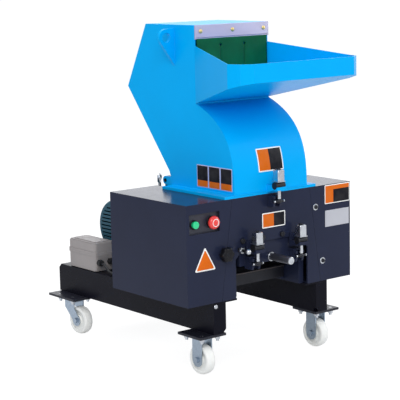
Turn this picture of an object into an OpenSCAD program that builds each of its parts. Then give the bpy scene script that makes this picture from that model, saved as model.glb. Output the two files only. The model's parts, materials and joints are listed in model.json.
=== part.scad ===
// Plastic granulator on four casters, with a tilting hopper, a belt drive and a drop-down screen.
// Millimetres. +X is the machine's right, +Y its back, +Z up, and the floor is at z = 0.
// The modules are drawn from the front plate's face (y = 0) and then moved by placed().

/* [Base frame] */
// Distance between the inner faces of the two long beams
beam_gap = 390; // [380:1:400]
// Width of a beam
beam_w = 50; // [44:1:54]
// Height of a beam
beam_h = 99; // [90:1:110]
// Length of a beam, front to back
beam_len = 886; // [870:1:940]
// Sheet thickness of a beam
beam_wall = 6; // [4:0.5:8]

/* [Casters] */
// Height of a caster, floor to mounting plate
caster_h = 129; // [124:1:140]
// Wheel diameter
wheel_d = 100; // [92:1:104]
// Wheel width
wheel_w = 32; // [26:1:36]
// Axle diameter
axle_d = 12; // [10:1:14]
// Distance between the two wheels of a pair
wheel_track = 494; // [484:1:500]
// Front wheel's place behind the front plate's face
front_wheel_y = 63; // [60:1:80]
// Swivel axis of the rear casters behind the front plate's face
rear_swivel_y = 796; // [785:1:806]
// Trail of a rear wheel, swivel axis to axle
trail = 36; // [30:1:40]
// Turn of the left rear caster, degrees
left_turn = 4; // [-30:1:30]
// Turn of the right rear caster, degrees
right_turn = -7; // [-30:1:30]

/* [Cutting chamber] */
// Height of the chamber and its guards above the sills
box_h = 322; // [312:1:340]
// Width of the chamber over its side walls
chamber_w = 309; // [300:1:316]
// Depth of the chamber from the front plate's face to the back of the rear wall
chamber_d = 330; // [326:1:340]
// Thickness of the side walls
side_wall_t = 20; // [16:1:24]
// Thickness of the front and rear walls behind the plate
end_wall_t = 30; // [24:1:34]
// Half the front plate's width at the top
brow_half = 165; // [162:1:172]
// Half the front plate's width at the foot
foot_half = 212; // [200:1:220]
// Height of the opening between the legs
opening_h = 170; // [166:1:174]
// Height of the rotor axis above the sills
rotor_z_up = 210; // [207:1:213]
// Rotor axis behind the front plate's face
rotor_y = 168; // [166:1:170]

/* [Rotor and knives] */
// Radius at the tips of the claw knives
rotor_r = 104; // [98:1:105]
// Radius of the rotor's core
core_r = 42; // [38:1:46]
// Shaft diameter
shaft_d = 50; // [44:1:52]
// Number of claw rings along the rotor
claw_rings = 5; // [3:1:6]
// Claws in each ring
claws_per_ring = 3; // [2:1:4]
// Gap between the knife tips and the bed knives
knife_gap = 1; // [0.6:0.1:2]
// Radius of the flywheel
flywheel_r = 98; // [90:1:102]

/* [Screen and cradle] */
// Inner radius of the screen
screen_r = 112; // [109:1:114]
// Hole diameter of the screen
hole_d = 10; // [6:1:12]
// Half the angle that the screen covers, degrees
screen_angle = 66; // [62:1:68]
// Ribs that carry the screen
cradle_ribs = 4; // [3:1:5]
// Length of the handle
handle_len = 100; // [80:1:110]

/* [Granule tray] */
// Height of the tray
tray_h = 42; // [34:1:44]
// Front of the tray behind the front plate's face
tray_y = 94; // [90:1:110]
// Length of the tray
tray_len = 226; // [200:1:230]

/* [Guards] */
// Width over both guards
guard_span = 700; // [690:1:720]
// Depth of the left guard
guard_depth = 403; // [396:1:420]
// Sheet thickness of the guards
guard_t = 3; // [2:0.5:4]
// Reach of the belt cover behind the front plate's face
cover_reach = 762; // [756:1:780]
// Width of the belt cover
cover_w = 140; // [136:1:146]

/* [Hopper] */
// Height of the hopper above its flange
hopper_h = 529; // [510:1:560]
// Sheet thickness of the hopper
shell_t = 4; // [3:0.5:5]
// Overhang of the flange at each side
flange_lip = 39; // [36:1:42]
// Mouth plane behind the front plate's face
mouth_y = 186; // [180:1:196]
// Height of the mouth's sill above the flange
mouth_sill_h = 279; // [270:1:286]
// Back edge of the roof behind the front plate's face
roof_back_y = 446; // [436:1:460]
// Rearmost corner of the back wall, behind the front plate's face
belly_y = 556; // [540:1:570]
// Height of that corner above the flange
belly_h = 317; // [305:1:330]
// Height of the curtain bar
bar_h = 40; // [34:1:46]
// Thickness of the rubber curtain
curtain_t = 3; // [2:0.5:4]
// Length of the hanging part of the curtain
curtain_len = 184; // [170:1:188]
// Radius of the lifting lug's hole
lug_hole_r = 16; // [13:1:18]

/* [Feed tray] */
// Reach of the feed tray in front of the front plate's face
lip_reach = 167; // [160:1:180]
// Height of the front lip
lip_h = 58; // [50:1:66]
// Rise of the tray's floor from the mouth to the lip
tray_rise = 86; // [76:1:96]
// Half the tray's greatest width
crease_half = 256; // [248:1:262]
// Half the width of the front lip
lip_half = 208; // [200:1:216]

/* [Clamps] */
// Rod diameter of the clamps
rod_d = 12; // [10:1:14]
// Axis of the clamps in front of the front plate's face
clamp_reach = 36; // [34:1:40]
// Distance from the trunnion's axis to the cross pin
clamp_drop = 51; // [48:1:54]
// Distance of a lower clamp from the middle
clamp_x = 93; // [88:1:96]

/* [Drive] */
// Motor axis behind the front plate's face
motor_y = 685; // [682:1:690]
// Motor axis above the top of the beams
motor_axis_h = 146; // [140:1:150]
// Outer radius of the motor's frame over its fins
motor_r = 106; // [102:1:108]
// Middle of the motor's feet, right of the machine's middle
motor_x = 65; // [62:1:68]
// Pitch radius of the rotor pulley
rotor_pulley_r = 95; // [90:1:98]
// Pitch radius of the motor pulley
motor_pulley_r = 47.5; // [45:0.5:50]

/* [Starter box] */
// Width of the starter box
case_w = 84; // [78:1:86]
// Length of the starter box, front to back
case_len = 165; // [155:1:175]
// Height of the starter box's base
case_base_h = 60; // [54:1:66]
// Height of the starter box's lid
case_lid_h = 42; // [36:1:48]

/* [Hidden] */
$fn = 64;

beam_chamfer = 14;
sill_t = 6;
wheel_crown = 4;
fork_t = 3.5;
fork_w = 46;
pad_t = 8;
pad_w = 105;
front_pad_len = 116;
rear_pad_len = 160;
claw_stagger = 24;
bearing_r = 45;
bearing_w = 24;
screen_t = 3;
hole_columns = 10;
hole_rows = 7;
rib_t = 10;
rib_depth = 6.5;
cradle_plate_t = 12;
tray_wall = 2;
window_w = 121;
window_h = 63;
knob_r = 25;
knee_h = 46;
heel_y = 317;
bar_t = 5;
lug_t = 12;
nut_w = 27;
nut_h = 39;
trunnion_r = 12;
motor_centre_h = 112;
belt_w = 13;
belt_t = 8;
case_corner = 10;
gland_r = 12;
handle_d = 25;
beam_setback = 4;
front_plate_t = 6;
flywheel_w = 42;
knee_y = 335;
stop_r = 21;
start_r = 12;
bed_knife_t = 14;
flange_t = 9;
fan_cover_r = 95;
cable_d = 8;
rim_fall = 40;

// One overrun serves every cut
over = 1;
// Gap between pieces that rest on each other
seat = 0.3;
// Radial clearance of a shaft in its hole
run = 0.05;
// Radial clearance of a screw or a fixed pin in its hole
loose = 0.2;

// Levels of the base, the box and the axes
pad_z = caster_h;
beam_z = pad_z + pad_t;
beam_top = beam_z + beam_h;
box_z = beam_top + sill_t;
box_top = box_z + box_h;
flange_z = box_top + seat;
hopper_z = flange_z + flange_t;
hopper_top = hopper_z + hopper_h;
rotor_z = box_z + rotor_z_up;
motor_z = beam_top + motor_axis_h;
beam_in = beam_gap / 2;
beam_out = beam_in + beam_w;
beam_back = beam_setback + beam_len;
half_w = guard_span / 2;
wall_out = chamber_w / 2;
wall_in = wall_out - side_wall_t;
opening_z = box_z + opening_h;
mid_y = (beam_back - lip_reach) / 2;

// Shared shapes
module placed() {
  translate([0, -mid_y, 0])
    children();
}

module span(lo, hi) {
  translate(lo)
    cube(hi - lo);
}

module both_sides() {
  children();
  mirror([1, 0, 0])
    children();
}

module bar_x(r, x0, x1, y, z) {
  translate([x0, y, z])
    rotate([0, 90, 0])
      cylinder(r = r, h = x1 - x0);
}

module bar_y(r, y0, y1, x, z, sides = $fn) {
  translate([x, y0, z])
    rotate([-90, 0, 0])
      cylinder(r = r, h = y1 - y0, $fn = sides);
}

module bar_z(r, z0, z1, x, y, sides = $fn) {
  translate([x, y, z0])
    cylinder(r = r, h = z1 - z0, $fn = sides);
}

module side_slab(points, x0, x1) {
  translate([x0, 0, 0])
    rotate([90, 0, 90])
      linear_extrude(x1 - x0)
        polygon(points);
}

module front_slab(points, y0, y1) {
  translate([0, y1, 0])
    rotate([90, 0, 0])
      linear_extrude(y1 - y0)
        polygon(points);
}

// Base frame
// A beam is a folded channel, open below, with a front end plate
module beam() {
  front = [
    [beam_in + beam_chamfer, beam_z], [beam_out, beam_z], [beam_out, beam_top],
    [beam_in, beam_top], [beam_in, beam_z + beam_chamfer],
  ];
  side = [
    [beam_setback, beam_z], [beam_back, beam_z], [beam_back, beam_top - beam_chamfer],
    [beam_back - beam_chamfer, beam_top], [beam_setback, beam_top],
  ];
  difference() {
    intersection() {
      union() {
        front_slab(front, beam_setback, beam_setback + beam_chamfer);
        span([beam_in, beam_setback + beam_chamfer, beam_z], [beam_out, beam_back, beam_top]);
      }
      side_slab(side, beam_in - over, beam_out + over);
    }
    span(
      [beam_in + beam_wall, beam_setback + beam_wall + beam_chamfer, beam_z - over],
      [beam_out - beam_wall, beam_back - beam_wall, beam_top - beam_chamfer]
    );
  }
}

module side_beams() {
  color("#1b1b26") placed()
    both_sides()
      beam();
}

// Two cross members between the beams, and the chamber's sills on top of them
cross_w = 40;
cross_h = 42;
cross_half_spread = 75;
sill_in = 148;
module cross_members() {
  color("#1b1b26") placed() {
    for (side = [-1, 1]) {
      y = motor_y + side * cross_half_spread;
      span([-beam_in, y - cross_w / 2, beam_top - cross_h], [beam_in, y + cross_w / 2, beam_top]);
    }
    both_sides()
      span([sill_in, beam_setback, beam_top], [beam_out, chamber_d, box_z]);
  }
}

// Casters
axle_r = axle_d / 2;
wheel_r = wheel_d / 2;
wheel_x = wheel_track / 2;
wheel_side_gap = 3;
fork_in = wheel_w / 2 + wheel_side_gap;
fork_out = fork_in + fork_t;
top_len = 92;
top_w = 78;
fork_round = 20;
swivel_ring_r = 29;
swivel_ring_h = 9;
king_pin_r = 8;
king_head_r = 12;
crown_half = 26;
fork_knee_z = 92;
axle_nut_h = 7;
axle_nut_r = 10;
front_setback = 1;
pad_front_y = beam_setback + front_setback;
rear_setback = 10;
rear_pad_y = beam_back - rear_setback - rear_pad_len;
pad_bolt_r = 5;
pad_head_h = 7;
pad_head_r = 9;
pad_half_x = 32;
pad_half_y = 39;

module caster_plates() {
  color("#24242e") placed()
    both_sides() {
      difference() {
        span([beam_in, pad_front_y, pad_z], [beam_in + pad_w, pad_front_y + front_pad_len, beam_z]);
        pad_holes(front_wheel_y, pad_z - over, beam_z + over);
      }
      difference() {
        span([beam_in, rear_pad_y, pad_z], [beam_in + pad_w, rear_pad_y + rear_pad_len, beam_z]);
        pad_holes(rear_swivel_y, pad_z - over, beam_z + over);
      }
    }
}

module pad_holes(y, z0, z1) {
  for (i = [-1, 1], j = [-1, 1])
    bar_z(pad_bolt_r + loose, z0, z1, wheel_x + i * pad_half_x, y + j * pad_half_y);
}

// Bolts that stand clear of the beam get a head on top, the others are studs from the plate
module caster_bolts() {
  color("#b9bcc4") placed()
    both_sides()
      for (y = [front_wheel_y, rear_swivel_y], i = [-1, 1], j = [-1, 1]) {
        x = wheel_x + i * pad_half_x;
        by = y + j * pad_half_y;
        bar_z(pad_bolt_r, pad_z - fork_t - pad_head_h - pad_head_h, beam_z, x, by);
        bar_z(pad_head_r, pad_z - fork_t - pad_head_h, pad_z - fork_t, x, by, 6);
      }
}

// The caster's top plate with the four bolt holes, centred on the wheel's track
module fork_plate(y) {
  difference() {
    span(
      [wheel_x - top_w / 2, y - top_len / 2, pad_z - fork_t],
      [wheel_x + top_w / 2, y + top_len / 2, pad_z]
    );
    pad_holes(y, pad_z - fork_t - over, pad_z + over);
  }
}

// An axle bolt with a nut at each end, along X through the point [x, y]
module axle_bolt(x, y) {
  bar_x(axle_r, x - fork_out - axle_nut_h, x + fork_out + axle_nut_h, y, wheel_r);
  for (side = [-1, 1])
    translate([x + side * (fork_out + axle_nut_h / 2), y, wheel_r])
      rotate([0, 90, 0])
        cylinder(r = axle_nut_r, h = axle_nut_h, center = true, $fn = 6);
}

// A straight fork's two legs under its plate
module straight_legs() {
  for (x0 = [wheel_x - fork_out, wheel_x + fork_in])
    difference() {
      union() {
        span(
          [x0, front_wheel_y - fork_w / 2, wheel_r],
          [x0 + fork_t, front_wheel_y + fork_w / 2, pad_z - fork_t]
        );
        bar_x(fork_w / 2, x0, x0 + fork_t, front_wheel_y, wheel_r);
      }
      bar_x(axle_r + run, x0 - over, x0 + fork_t + over, front_wheel_y, wheel_r);
    }
}

// Front forks with their axles, and the rear casters' top plates with their king pins
module caster_mounts() {
  color("#a9b3bd") placed()
    both_sides() {
      fork_plate(rear_swivel_y);
      bar_z(king_pin_r, fork_top_z - 2 * fork_t, pad_z - over, wheel_x, rear_swivel_y);
      bar_z(king_head_r, fork_top_z - 2 * fork_t, fork_top_z - fork_t - seat, wheel_x, rear_swivel_y);
      fork_plate(front_wheel_y);
      straight_legs();
      axle_bolt(wheel_x, front_wheel_y);
    }
}

// A swivel fork about its own upright axis at the origin, trailing forward
module swivel_fork() {
  leg = [
    [crown_half, fork_top_z], [-crown_half, fork_top_z], [-crown_half, fork_knee_z],
    [-trail - fork_round, wheel_r], [-trail, wheel_r], [-trail + fork_round, wheel_r],
    [crown_half, fork_knee_z],
  ];
  difference() {
    union() {
      for (x0 = [-fork_out, fork_in]) {
        side_slab(leg, x0, x0 + fork_t);
        bar_x(fork_round, x0, x0 + fork_t, -trail, wheel_r);
      }
      span([-fork_out, -crown_half, fork_top_z - fork_t], [fork_out, crown_half, fork_top_z]);
      bar_z(swivel_ring_r, fork_top_z, fork_top_z + swivel_ring_h, 0, 0);
    }
    bar_x(axle_r + run, -fork_out - over, fork_out + over, -trail, wheel_r);
    bar_z(king_pin_r + run, fork_top_z - fork_t - over, pad_z, 0, 0);
  }
  translate([0, -trail, 0])
    axle_bolt(0, 0);
}
fork_top_z = pad_z - fork_t - seat - swivel_ring_h;

module turned(side, angle) {
  translate([side * wheel_x, rear_swivel_y, 0])
    rotate([0, 0, angle])
      children();
}

module rear_left_fork() {
  color("#a9b3bd") placed()
    turned(-1, left_turn)
      swivel_fork();
}

module rear_right_fork() {
  color("#a9b3bd") placed()
    turned(1, right_turn)
      swivel_fork();
}

// A crowned nylon wheel about an axle along X
hub_r = 17;
rim_r = 36;
web_recess = 6;
module wheel() {
  half = wheel_w / 2;
  shoulder = half * 0.62;
  profile = [
    [axle_r + run, -half], [hub_r, -half], [hub_r, -half + web_recess],
    [rim_r, -half + web_recess], [rim_r, -half], [wheel_r - wheel_crown, -half],
    [wheel_r, -half + shoulder], [wheel_r, half - shoulder], [wheel_r - wheel_crown, half],
    [rim_r, half], [rim_r, half - web_recess], [hub_r, half - web_recess], [hub_r, half],
    [axle_r + run, half],
  ];
  rotate([0, 90, 0])
    rotate_extrude()
      polygon(profile);
}

module front_left_wheel() {
  color("#e8e8e0") placed()
    translate([-wheel_x, front_wheel_y, wheel_r])
      wheel();
}

module front_right_wheel() {
  color("#e8e8e0") placed()
    translate([wheel_x, front_wheel_y, wheel_r])
      wheel();
}

module rear_left_wheel() {
  color("#e8e8e0") placed()
    turned(-1, left_turn)
      translate([0, -trail, wheel_r])
        wheel();
}

module rear_right_wheel() {
  color("#e8e8e0") placed()
    turned(1, right_turn)
      translate([0, -trail, wheel_r])
        wheel();
}

// Cutting chamber
shaft_r = shaft_d / 2;
wall_front_gap = 4;
wall_front = front_plate_t + cradle_plate_t + wall_front_gap;
shaft_hole_gap = 6;
rail_w = 16;
rail_t = 6;
rail_up = 7;
rail_z = box_z + rail_up;
knife_top = rotor_z;
knife_z = knife_top - bed_knife_t;
knife_inner = rotor_r + knife_gap;
knife_len = wall_in - seat;
ledge_reach = 14;
upper_wall_z = knife_top + seat;
rear_wall_y = chamber_d - end_wall_t;
front_wall_in = front_plate_t + end_wall_t;
housing_bolt_r = 5;
housing_bolt_half = 46;

module side_wall() {
  difference() {
    union() {
      span([wall_in, wall_front, box_z], [wall_out, chamber_d, box_top]);
      span([wall_in - rail_w, tray_y, rail_z], [wall_in + over, rear_wall_y, rail_z + rail_t]);
    }
    bar_x(shaft_r + shaft_hole_gap, wall_in - over, wall_out + over, rotor_y, rotor_z);
  }
}

module chamber_walls() {
  color("#2e3147") placed()
    both_sides()
      side_wall();
}

// Front plate with its two legs, the wall above the knife and the ledge under it
opening_cut = 45;
module chamber_front() {
  outline = [
    [-foot_half, box_z], [-wall_out, box_z], [-wall_out, opening_z - opening_cut],
    [-wall_out + opening_cut, opening_z], [wall_out - opening_cut, opening_z],
    [wall_out, opening_z - opening_cut], [wall_out, box_z], [foot_half, box_z],
    [brow_half, box_top], [-brow_half, box_top],
  ];
  color("#2e3147") placed()
    difference() {
      union() {
        front_slab(outline, 0, front_plate_t);
        span([-knife_len, front_plate_t, upper_wall_z], [knife_len, front_wall_in, box_top]);
        span(
          [-knife_len, front_plate_t, opening_z],
          [knife_len, front_wall_in + ledge_reach, knife_z - seat]
        );
      }
      bar_y(stud_r + loose, -over, front_plate_t + over, stud_x, stud_z);
      for (x = bolt_places)
        bar_y(knife_bolt_r + loose, -over, front_wall_in, x, knife_bolt_z);
    }
}

knife_bolt_r = 6;
knife_bolt_half_span = 126;
knife_bolt_z = (opening_z + knife_z) / 2;
bolt_count = 4;
bolt_places = [for (i = [0 : bolt_count - 1]) knife_bolt_half_span * (2 * i / (bolt_count - 1) - 1)];

// Rear wall, its ledge, and the lugs and pin that carry the cradle
cradle_pin_in = 18;
cradle_pin_y = rear_wall_y + cradle_pin_in;
cradle_pin_down = 20;
cradle_pin_z = opening_z - cradle_pin_down;
cradle_pin_r = 8;
cradle_lug_r = 14;
lug_half_spread = 60;
rear_plate_t = 8;
cradle_lug_t = 12;
module chamber_rear() {
  color("#2e3147") placed() {
    difference() {
      union() {
        span([-knife_len, rear_wall_y, upper_wall_z], [knife_len, chamber_d, box_top]);
        span([-knife_len, chamber_d - rear_plate_t, opening_z], [knife_len, chamber_d, box_top]);
        span(
          [-knife_len, rear_wall_y - ledge_reach, opening_z],
          [knife_len, chamber_d, knife_z - seat]
        );
        for (side = [-1, 1])
          cradle_lug(side * lug_half_spread);
      }
      bar_x(
        cradle_pin_r + loose / 2,
        -lug_half_spread - cradle_lug_t,
        lug_half_spread + cradle_lug_t,
        cradle_pin_y,
        cradle_pin_z
      );
    }
    bar_x(cradle_pin_r, -wall_in + seat, wall_in - seat, cradle_pin_y, cradle_pin_z);
  }
}

module cradle_lug(x) {
  bar_x(cradle_lug_r, x - cradle_lug_t / 2, x + cradle_lug_t / 2, cradle_pin_y, cradle_pin_z);
  span(
    [x - cradle_lug_t / 2, cradle_pin_y - cradle_pin_in / 2, cradle_pin_z],
    [x + cradle_lug_t / 2, cradle_pin_y + cradle_lug_r, opening_z + over]
  );
}

// The two bed knives lie level on their ledges, bevelled towards the rotor
knife_bevel = 10;
knife_back_gap = 2;
module bed_knife() {
  tip = rotor_y - knife_inner;
  back = front_plate_t + knife_back_gap;
  side_slab(
    [[back, knife_z], [tip - knife_bevel, knife_z], [tip, knife_top], [back, knife_top]],
    -knife_len,
    knife_len
  );
}

module bed_knives() {
  rear_tip = rotor_y + knife_inner;
  rear_back = chamber_d - rear_plate_t - knife_back_gap;
  color("#8d9096") placed() {
    bed_knife();
    side_slab(
      [
        [rear_back, knife_z], [rear_tip + knife_bevel, knife_z], [rear_tip, knife_top],
        [rear_back, knife_top],
      ],
      -knife_len,
      knife_len
    );
  }
}

// Hexagon screws through the front plate into the knife ledge, and the adjusting stud beside them
bolt_head_r = 9;
bolt_head_h = 7;
stud_out = 14;
stud_x = -knife_bolt_half_span - stud_out;
stud_down = 14;
stud_z = opening_z - stud_down;
stud_r = 6;
stud_len = 46;
stud_nut_w = 10;
stud_nut_r = 10;
stud_dome_r = 9;
module bed_knife_bolts() {
  color("#c9ccd2") placed() {
    for (x = bolt_places) {
      bar_y(bolt_head_r, -bolt_head_h, 0, x, knife_bolt_z, 6);
      bar_y(knife_bolt_r, -bolt_head_h / 2, end_wall_t, x, knife_bolt_z);
    }
    bar_y(stud_r, -stud_len, front_plate_t, stud_x, stud_z);
    bar_y(stud_nut_r, -2 * stud_nut_w, -stud_nut_w, stud_x, stud_z, 6);
    translate([stud_x, -stud_len, stud_z])
      sphere(r = stud_dome_r);
  }
}

// Bearings and rotor
housing_half = 58;
housing_base_t = 16;
housing_boss_r = 55;
housing_len = 36;
module bearing_housing() {
  difference() {
    union() {
      span(
        [wall_out, rotor_y - housing_half, rotor_z - housing_half],
        [wall_out + housing_base_t, rotor_y + housing_half, rotor_z + housing_half]
      );
      bar_x(housing_boss_r, wall_out, wall_out + housing_len, rotor_y, rotor_z);
    }
    bar_x(bearing_r, wall_out + bearing_seat, wall_out + housing_len + over, rotor_y, rotor_z);
    bar_x(shaft_r + shaft_hole_gap, wall_out - over, wall_out + housing_len, rotor_y, rotor_z);
    for (i = [-1, 1], j = [-1, 1])
      bar_x(
        housing_bolt_r,
        wall_out - over,
        wall_out + housing_base_t + over,
        rotor_y + i * housing_bolt_half,
        rotor_z + j * housing_bolt_half
      );
  }
}
bearing_seat = 8;

module bearing_housings() {
  color("#3a4150") placed()
    both_sides()
      bearing_housing();
}

module rotor_bearings() {
  start = wall_out + bearing_seat;
  color("#9aa0a8") placed()
    both_sides()
      difference() {
        bar_x(bearing_r, start, start + bearing_w, rotor_y, rotor_z);
        bar_x(shaft_r + run, start - over, start + bearing_w + over, rotor_y, rotor_z);
      }
}

wheel_gap_x = 44;
flywheel_in = wall_out + housing_len + wheel_gap_x;
shaft_stub = 12;
shaft_end = flywheel_in + flywheel_w + shaft_stub;
module rotor_shaft() {
  color("#a8abb0") placed()
    bar_x(shaft_r, -shaft_end, shaft_end, rotor_y, rotor_z);
}

// Claw rings: each ring has arms that carry the knives, and is turned from the last
core_gap = 5;
core_half = wall_in - core_gap;
ring_pitch = 2 * core_half / claw_rings;
ring_gap = 4;
ring_w = ring_pitch - ring_gap;
arm_root_share = 0.55;
arm_r_share = 0.84;
arm_back_share = 0.30;
arm_face_share = 0.02;
claw_t_share = 0.15;
arm_heel_share = 0.12;
module arm_outline() {
  polygon([
    [0, -rotor_r * arm_back_share], [rotor_r * arm_r_share, -rotor_r * arm_heel_share],
    [rotor_r * arm_r_share, -rotor_r * arm_face_share], [0, -rotor_r * arm_face_share],
  ]);
}

module claw_outline() {
  polygon([
    [rotor_r * arm_root_share, seat - rotor_r * arm_face_share],
    [rotor_r, seat - rotor_r * arm_face_share],
    [rotor_r * (1 - arm_heel_share / 2), rotor_r * (claw_t_share - arm_face_share)],
    [rotor_r * arm_root_share, rotor_r * (claw_t_share - arm_face_share)],
  ]);
}

module each_claw() {
  for (ring = [0 : claw_rings - 1], claw = [0 : claws_per_ring - 1])
    translate([-core_half + ring * ring_pitch + ring_gap / 2, rotor_y, rotor_z])
      rotate([ring * claw_stagger + claw * 360 / claws_per_ring, 0, 0])
        rotate([90, 0, 90])
          children();
}

module rotor_core() {
  color("#6d7178") placed()
    difference() {
      union() {
        bar_x(core_r, -core_half, core_half, rotor_y, rotor_z);
        each_claw()
          linear_extrude(ring_w)
            arm_outline();
      }
      bar_x(shaft_r + run, -core_half - over, core_half + over, rotor_y, rotor_z);
    }
}

claw_screw_r = 7;
claw_screw_h = 5;
module claw_knives() {
  color("#c4c8ce") placed()
    each_claw() {
      linear_extrude(ring_w)
        claw_outline();
      translate([
        rotor_r * (arm_root_share + arm_r_share) / 2,
        rotor_r * (claw_t_share - arm_face_share),
        ring_w / 2,
      ])
        rotate([-90, 0, 0])
          cylinder(r = claw_screw_r, h = claw_screw_h);
    }
}

// The flywheel and the pulley turn with the shaft
wheel_hub_r = 38;
wheel_rim_t = 16;
wheel_web_t = 14;
module flywheel() {
  x0 = -flywheel_in - flywheel_w;
  x1 = -flywheel_in;
  recess = (flywheel_w - wheel_web_t) / 2;
  color("#4b4f57") placed()
    translate([x0, rotor_y, rotor_z])
      rotate([0, 90, 0])
        rotate_extrude()
          polygon([
            [shaft_r + run, 0], [wheel_hub_r, 0], [wheel_hub_r, recess],
            [flywheel_r - wheel_rim_t, recess], [flywheel_r - wheel_rim_t, 0], [flywheel_r, 0],
            [flywheel_r, x1 - x0], [flywheel_r - wheel_rim_t, x1 - x0],
            [flywheel_r - wheel_rim_t, x1 - x0 - recess], [wheel_hub_r, x1 - x0 - recess],
            [wheel_hub_r, x1 - x0], [shaft_r + run, x1 - x0],
          ]);
}

// A two-groove pulley of a given pitch radius from its left face, bored for its shaft
belt_pitch_x = 19;
pulley_w = 2 * belt_pitch_x + 4;
pulley_flange = 3;
belt_centres = [for (i = [0, 1]) pulley_w / 2 + (i - 0.5) * belt_pitch_x];
groove_w = belt_w + 2 * seat;
module pulley(r, bore) {
  edge = r + belt_t / 2 - pulley_flange / 2;
  root = r - belt_t / 2 - seat;
  rotate([0, 90, 0])
    difference() {
      cylinder(r = edge, h = pulley_w);
      for (x = belt_centres)
        translate([0, 0, x - groove_w / 2])
          rotate_extrude()
            translate([root, 0])
              square([edge, groove_w]);
      translate([0, 0, -over])
        cylinder(r = bore, h = pulley_w + 2 * over);
    }
}

pulley_x = flywheel_in;
module rotor_pulley() {
  color("#4b4f57") placed()
    translate([pulley_x, rotor_y, rotor_z])
      pulley(rotor_pulley_r, shaft_r + run);
}

// Belts: straight runs between the two tangent arcs
belt_dy = motor_y - rotor_y;
belt_dz = motor_z - rotor_z;
belt_span = sqrt(belt_dy * belt_dy + belt_dz * belt_dz);
belt_lean = atan2(belt_dz, belt_dy);
belt_tangent = asin((rotor_pulley_r - motor_pulley_r) / belt_span);

belt_dip = 0.2;
module belt_outline(grow) {
  r1 = rotor_pulley_r + grow;
  r2 = motor_pulley_r + grow;
  up = 90 - belt_tangent;
  a = r1 - belt_dip;
  b = r2 - belt_dip;
  circle(r = r1);
  translate([belt_span, 0])
    circle(r = r2);
  polygon([
    [a * cos(up), a * sin(up)], [belt_span + b * cos(up), b * sin(up)],
    [belt_span + b * cos(up), -b * sin(up)], [a * cos(up), -a * sin(up)],
  ]);
}

module drive_belts() {
  color("#141416") placed()
    for (x = belt_centres)
      translate([pulley_x + x - belt_w / 2, rotor_y, rotor_z])
        rotate([belt_lean, 0, 0])
          rotate([90, 0, 90])
            linear_extrude(belt_w)
              difference() {
                belt_outline(belt_t / 2);
                belt_outline(-belt_t / 2);
              }
}

// Guards
seam = 1;
guard_gap = 3.5;
guard_in = wall_out + guard_gap;
cover_in = half_w - cover_w;
window_inset = 12;
window_x = -half_w + window_inset;
window_down = 94;
window_z = box_top - window_down;
cable_hole_r = cable_d / 2 + seat;

// The room that the fixed front plate takes out of a guard, on the right side
module seam_cut() {
  front_slab(
    [
      [0, box_z - over], [foot_half + seam, box_z - over], [foot_half + seam, box_z],
      [brow_half + seam, box_top], [brow_half + seam, box_top + over], [0, box_top + over],
    ],
    -over,
    front_plate_t + seam
  );
}

module guard_box() {
  difference() {
    span([guard_in, 0, box_z], [half_w, guard_depth, box_top]);
    span(
      [guard_in - over, guard_t, box_z + guard_t],
      [half_w - guard_t, guard_depth - guard_t, box_top - guard_t]
    );
    seam_cut();
  }
}

module left_guard() {
  color("#2e3147") placed()
    difference() {
      mirror([1, 0, 0])
        guard_box();
      span([window_x, -over, window_z], [window_x + window_w, guard_t + over, window_z + window_h]);
      bar_y(cable_hole_r, guard_depth - guard_t - over, guard_depth + over, cable_x, cable_hole_z);
      bar_y(knob_screw_r + loose, -over, guard_t + over, knob_x, knob_z);
    }
}

// The belt cover joins the right guard and slopes down behind it
cover_low_up = 40;
cover_low_z = box_z + cover_low_up;
cover_back_up = 84;
cover_back_top = motor_z + cover_back_up;
cover_heel = 60;
cover_edge = [
  [guard_depth - guard_t, cover_low_z], [cover_reach - cover_heel, cover_low_z],
  [cover_reach, cover_low_z + cover_heel], [cover_reach, cover_back_top],
  [guard_depth - guard_t, box_top],
];
cover_hollow = [
  [guard_depth - guard_t - over, cover_low_z + guard_t],
  [cover_reach - cover_heel - guard_t / 2, cover_low_z + guard_t],
  [cover_reach - guard_t, cover_low_z + cover_heel + guard_t / 2],
  [cover_reach - guard_t, cover_back_top - guard_t],
  [guard_depth - guard_t - over, box_top - guard_t - guard_t / 2],
];
module right_guard() {
  color("#2e3147") placed()
    difference() {
      union() {
        guard_box();
        side_slab(cover_edge, cover_in, half_w);
      }
      side_slab(cover_hollow, cover_in - over, half_w - guard_t);
      span(
        [cover_in, guard_depth - guard_t - over, cover_low_z + guard_t],
        [half_w - guard_t, guard_depth + over, box_top - guard_t - guard_t]
      );
      for (p = guard_places)
        bar_y(guard_screw_r + loose, -over, guard_t + over, p[0], p[1]);
    }
}

// Two washered screws hold the right guard along its seam
guard_screw_r = 4;
washer_r = 11;
washer_t = 2;
guard_head_r = 8;
guard_head_h = 5;
guard_screw_in = 14;
upper_screw_x = 192;
upper_screw_down = 69;
lower_screw_x = 222;
lower_screw_up = 69;
guard_places = [[upper_screw_x, box_top - upper_screw_down], [lower_screw_x, box_z + lower_screw_up]];
module guard_screws() {
  color("#c9ccd2") placed()
    for (p = guard_places) {
      bar_y(washer_r, -washer_t, 0, p[0], p[1]);
      bar_y(guard_head_r, -washer_t - guard_head_h, -washer_t, p[0], p[1], 6);
      bar_y(guard_screw_r, -washer_t, guard_screw_in, p[0], p[1]);
    }
}

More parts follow.
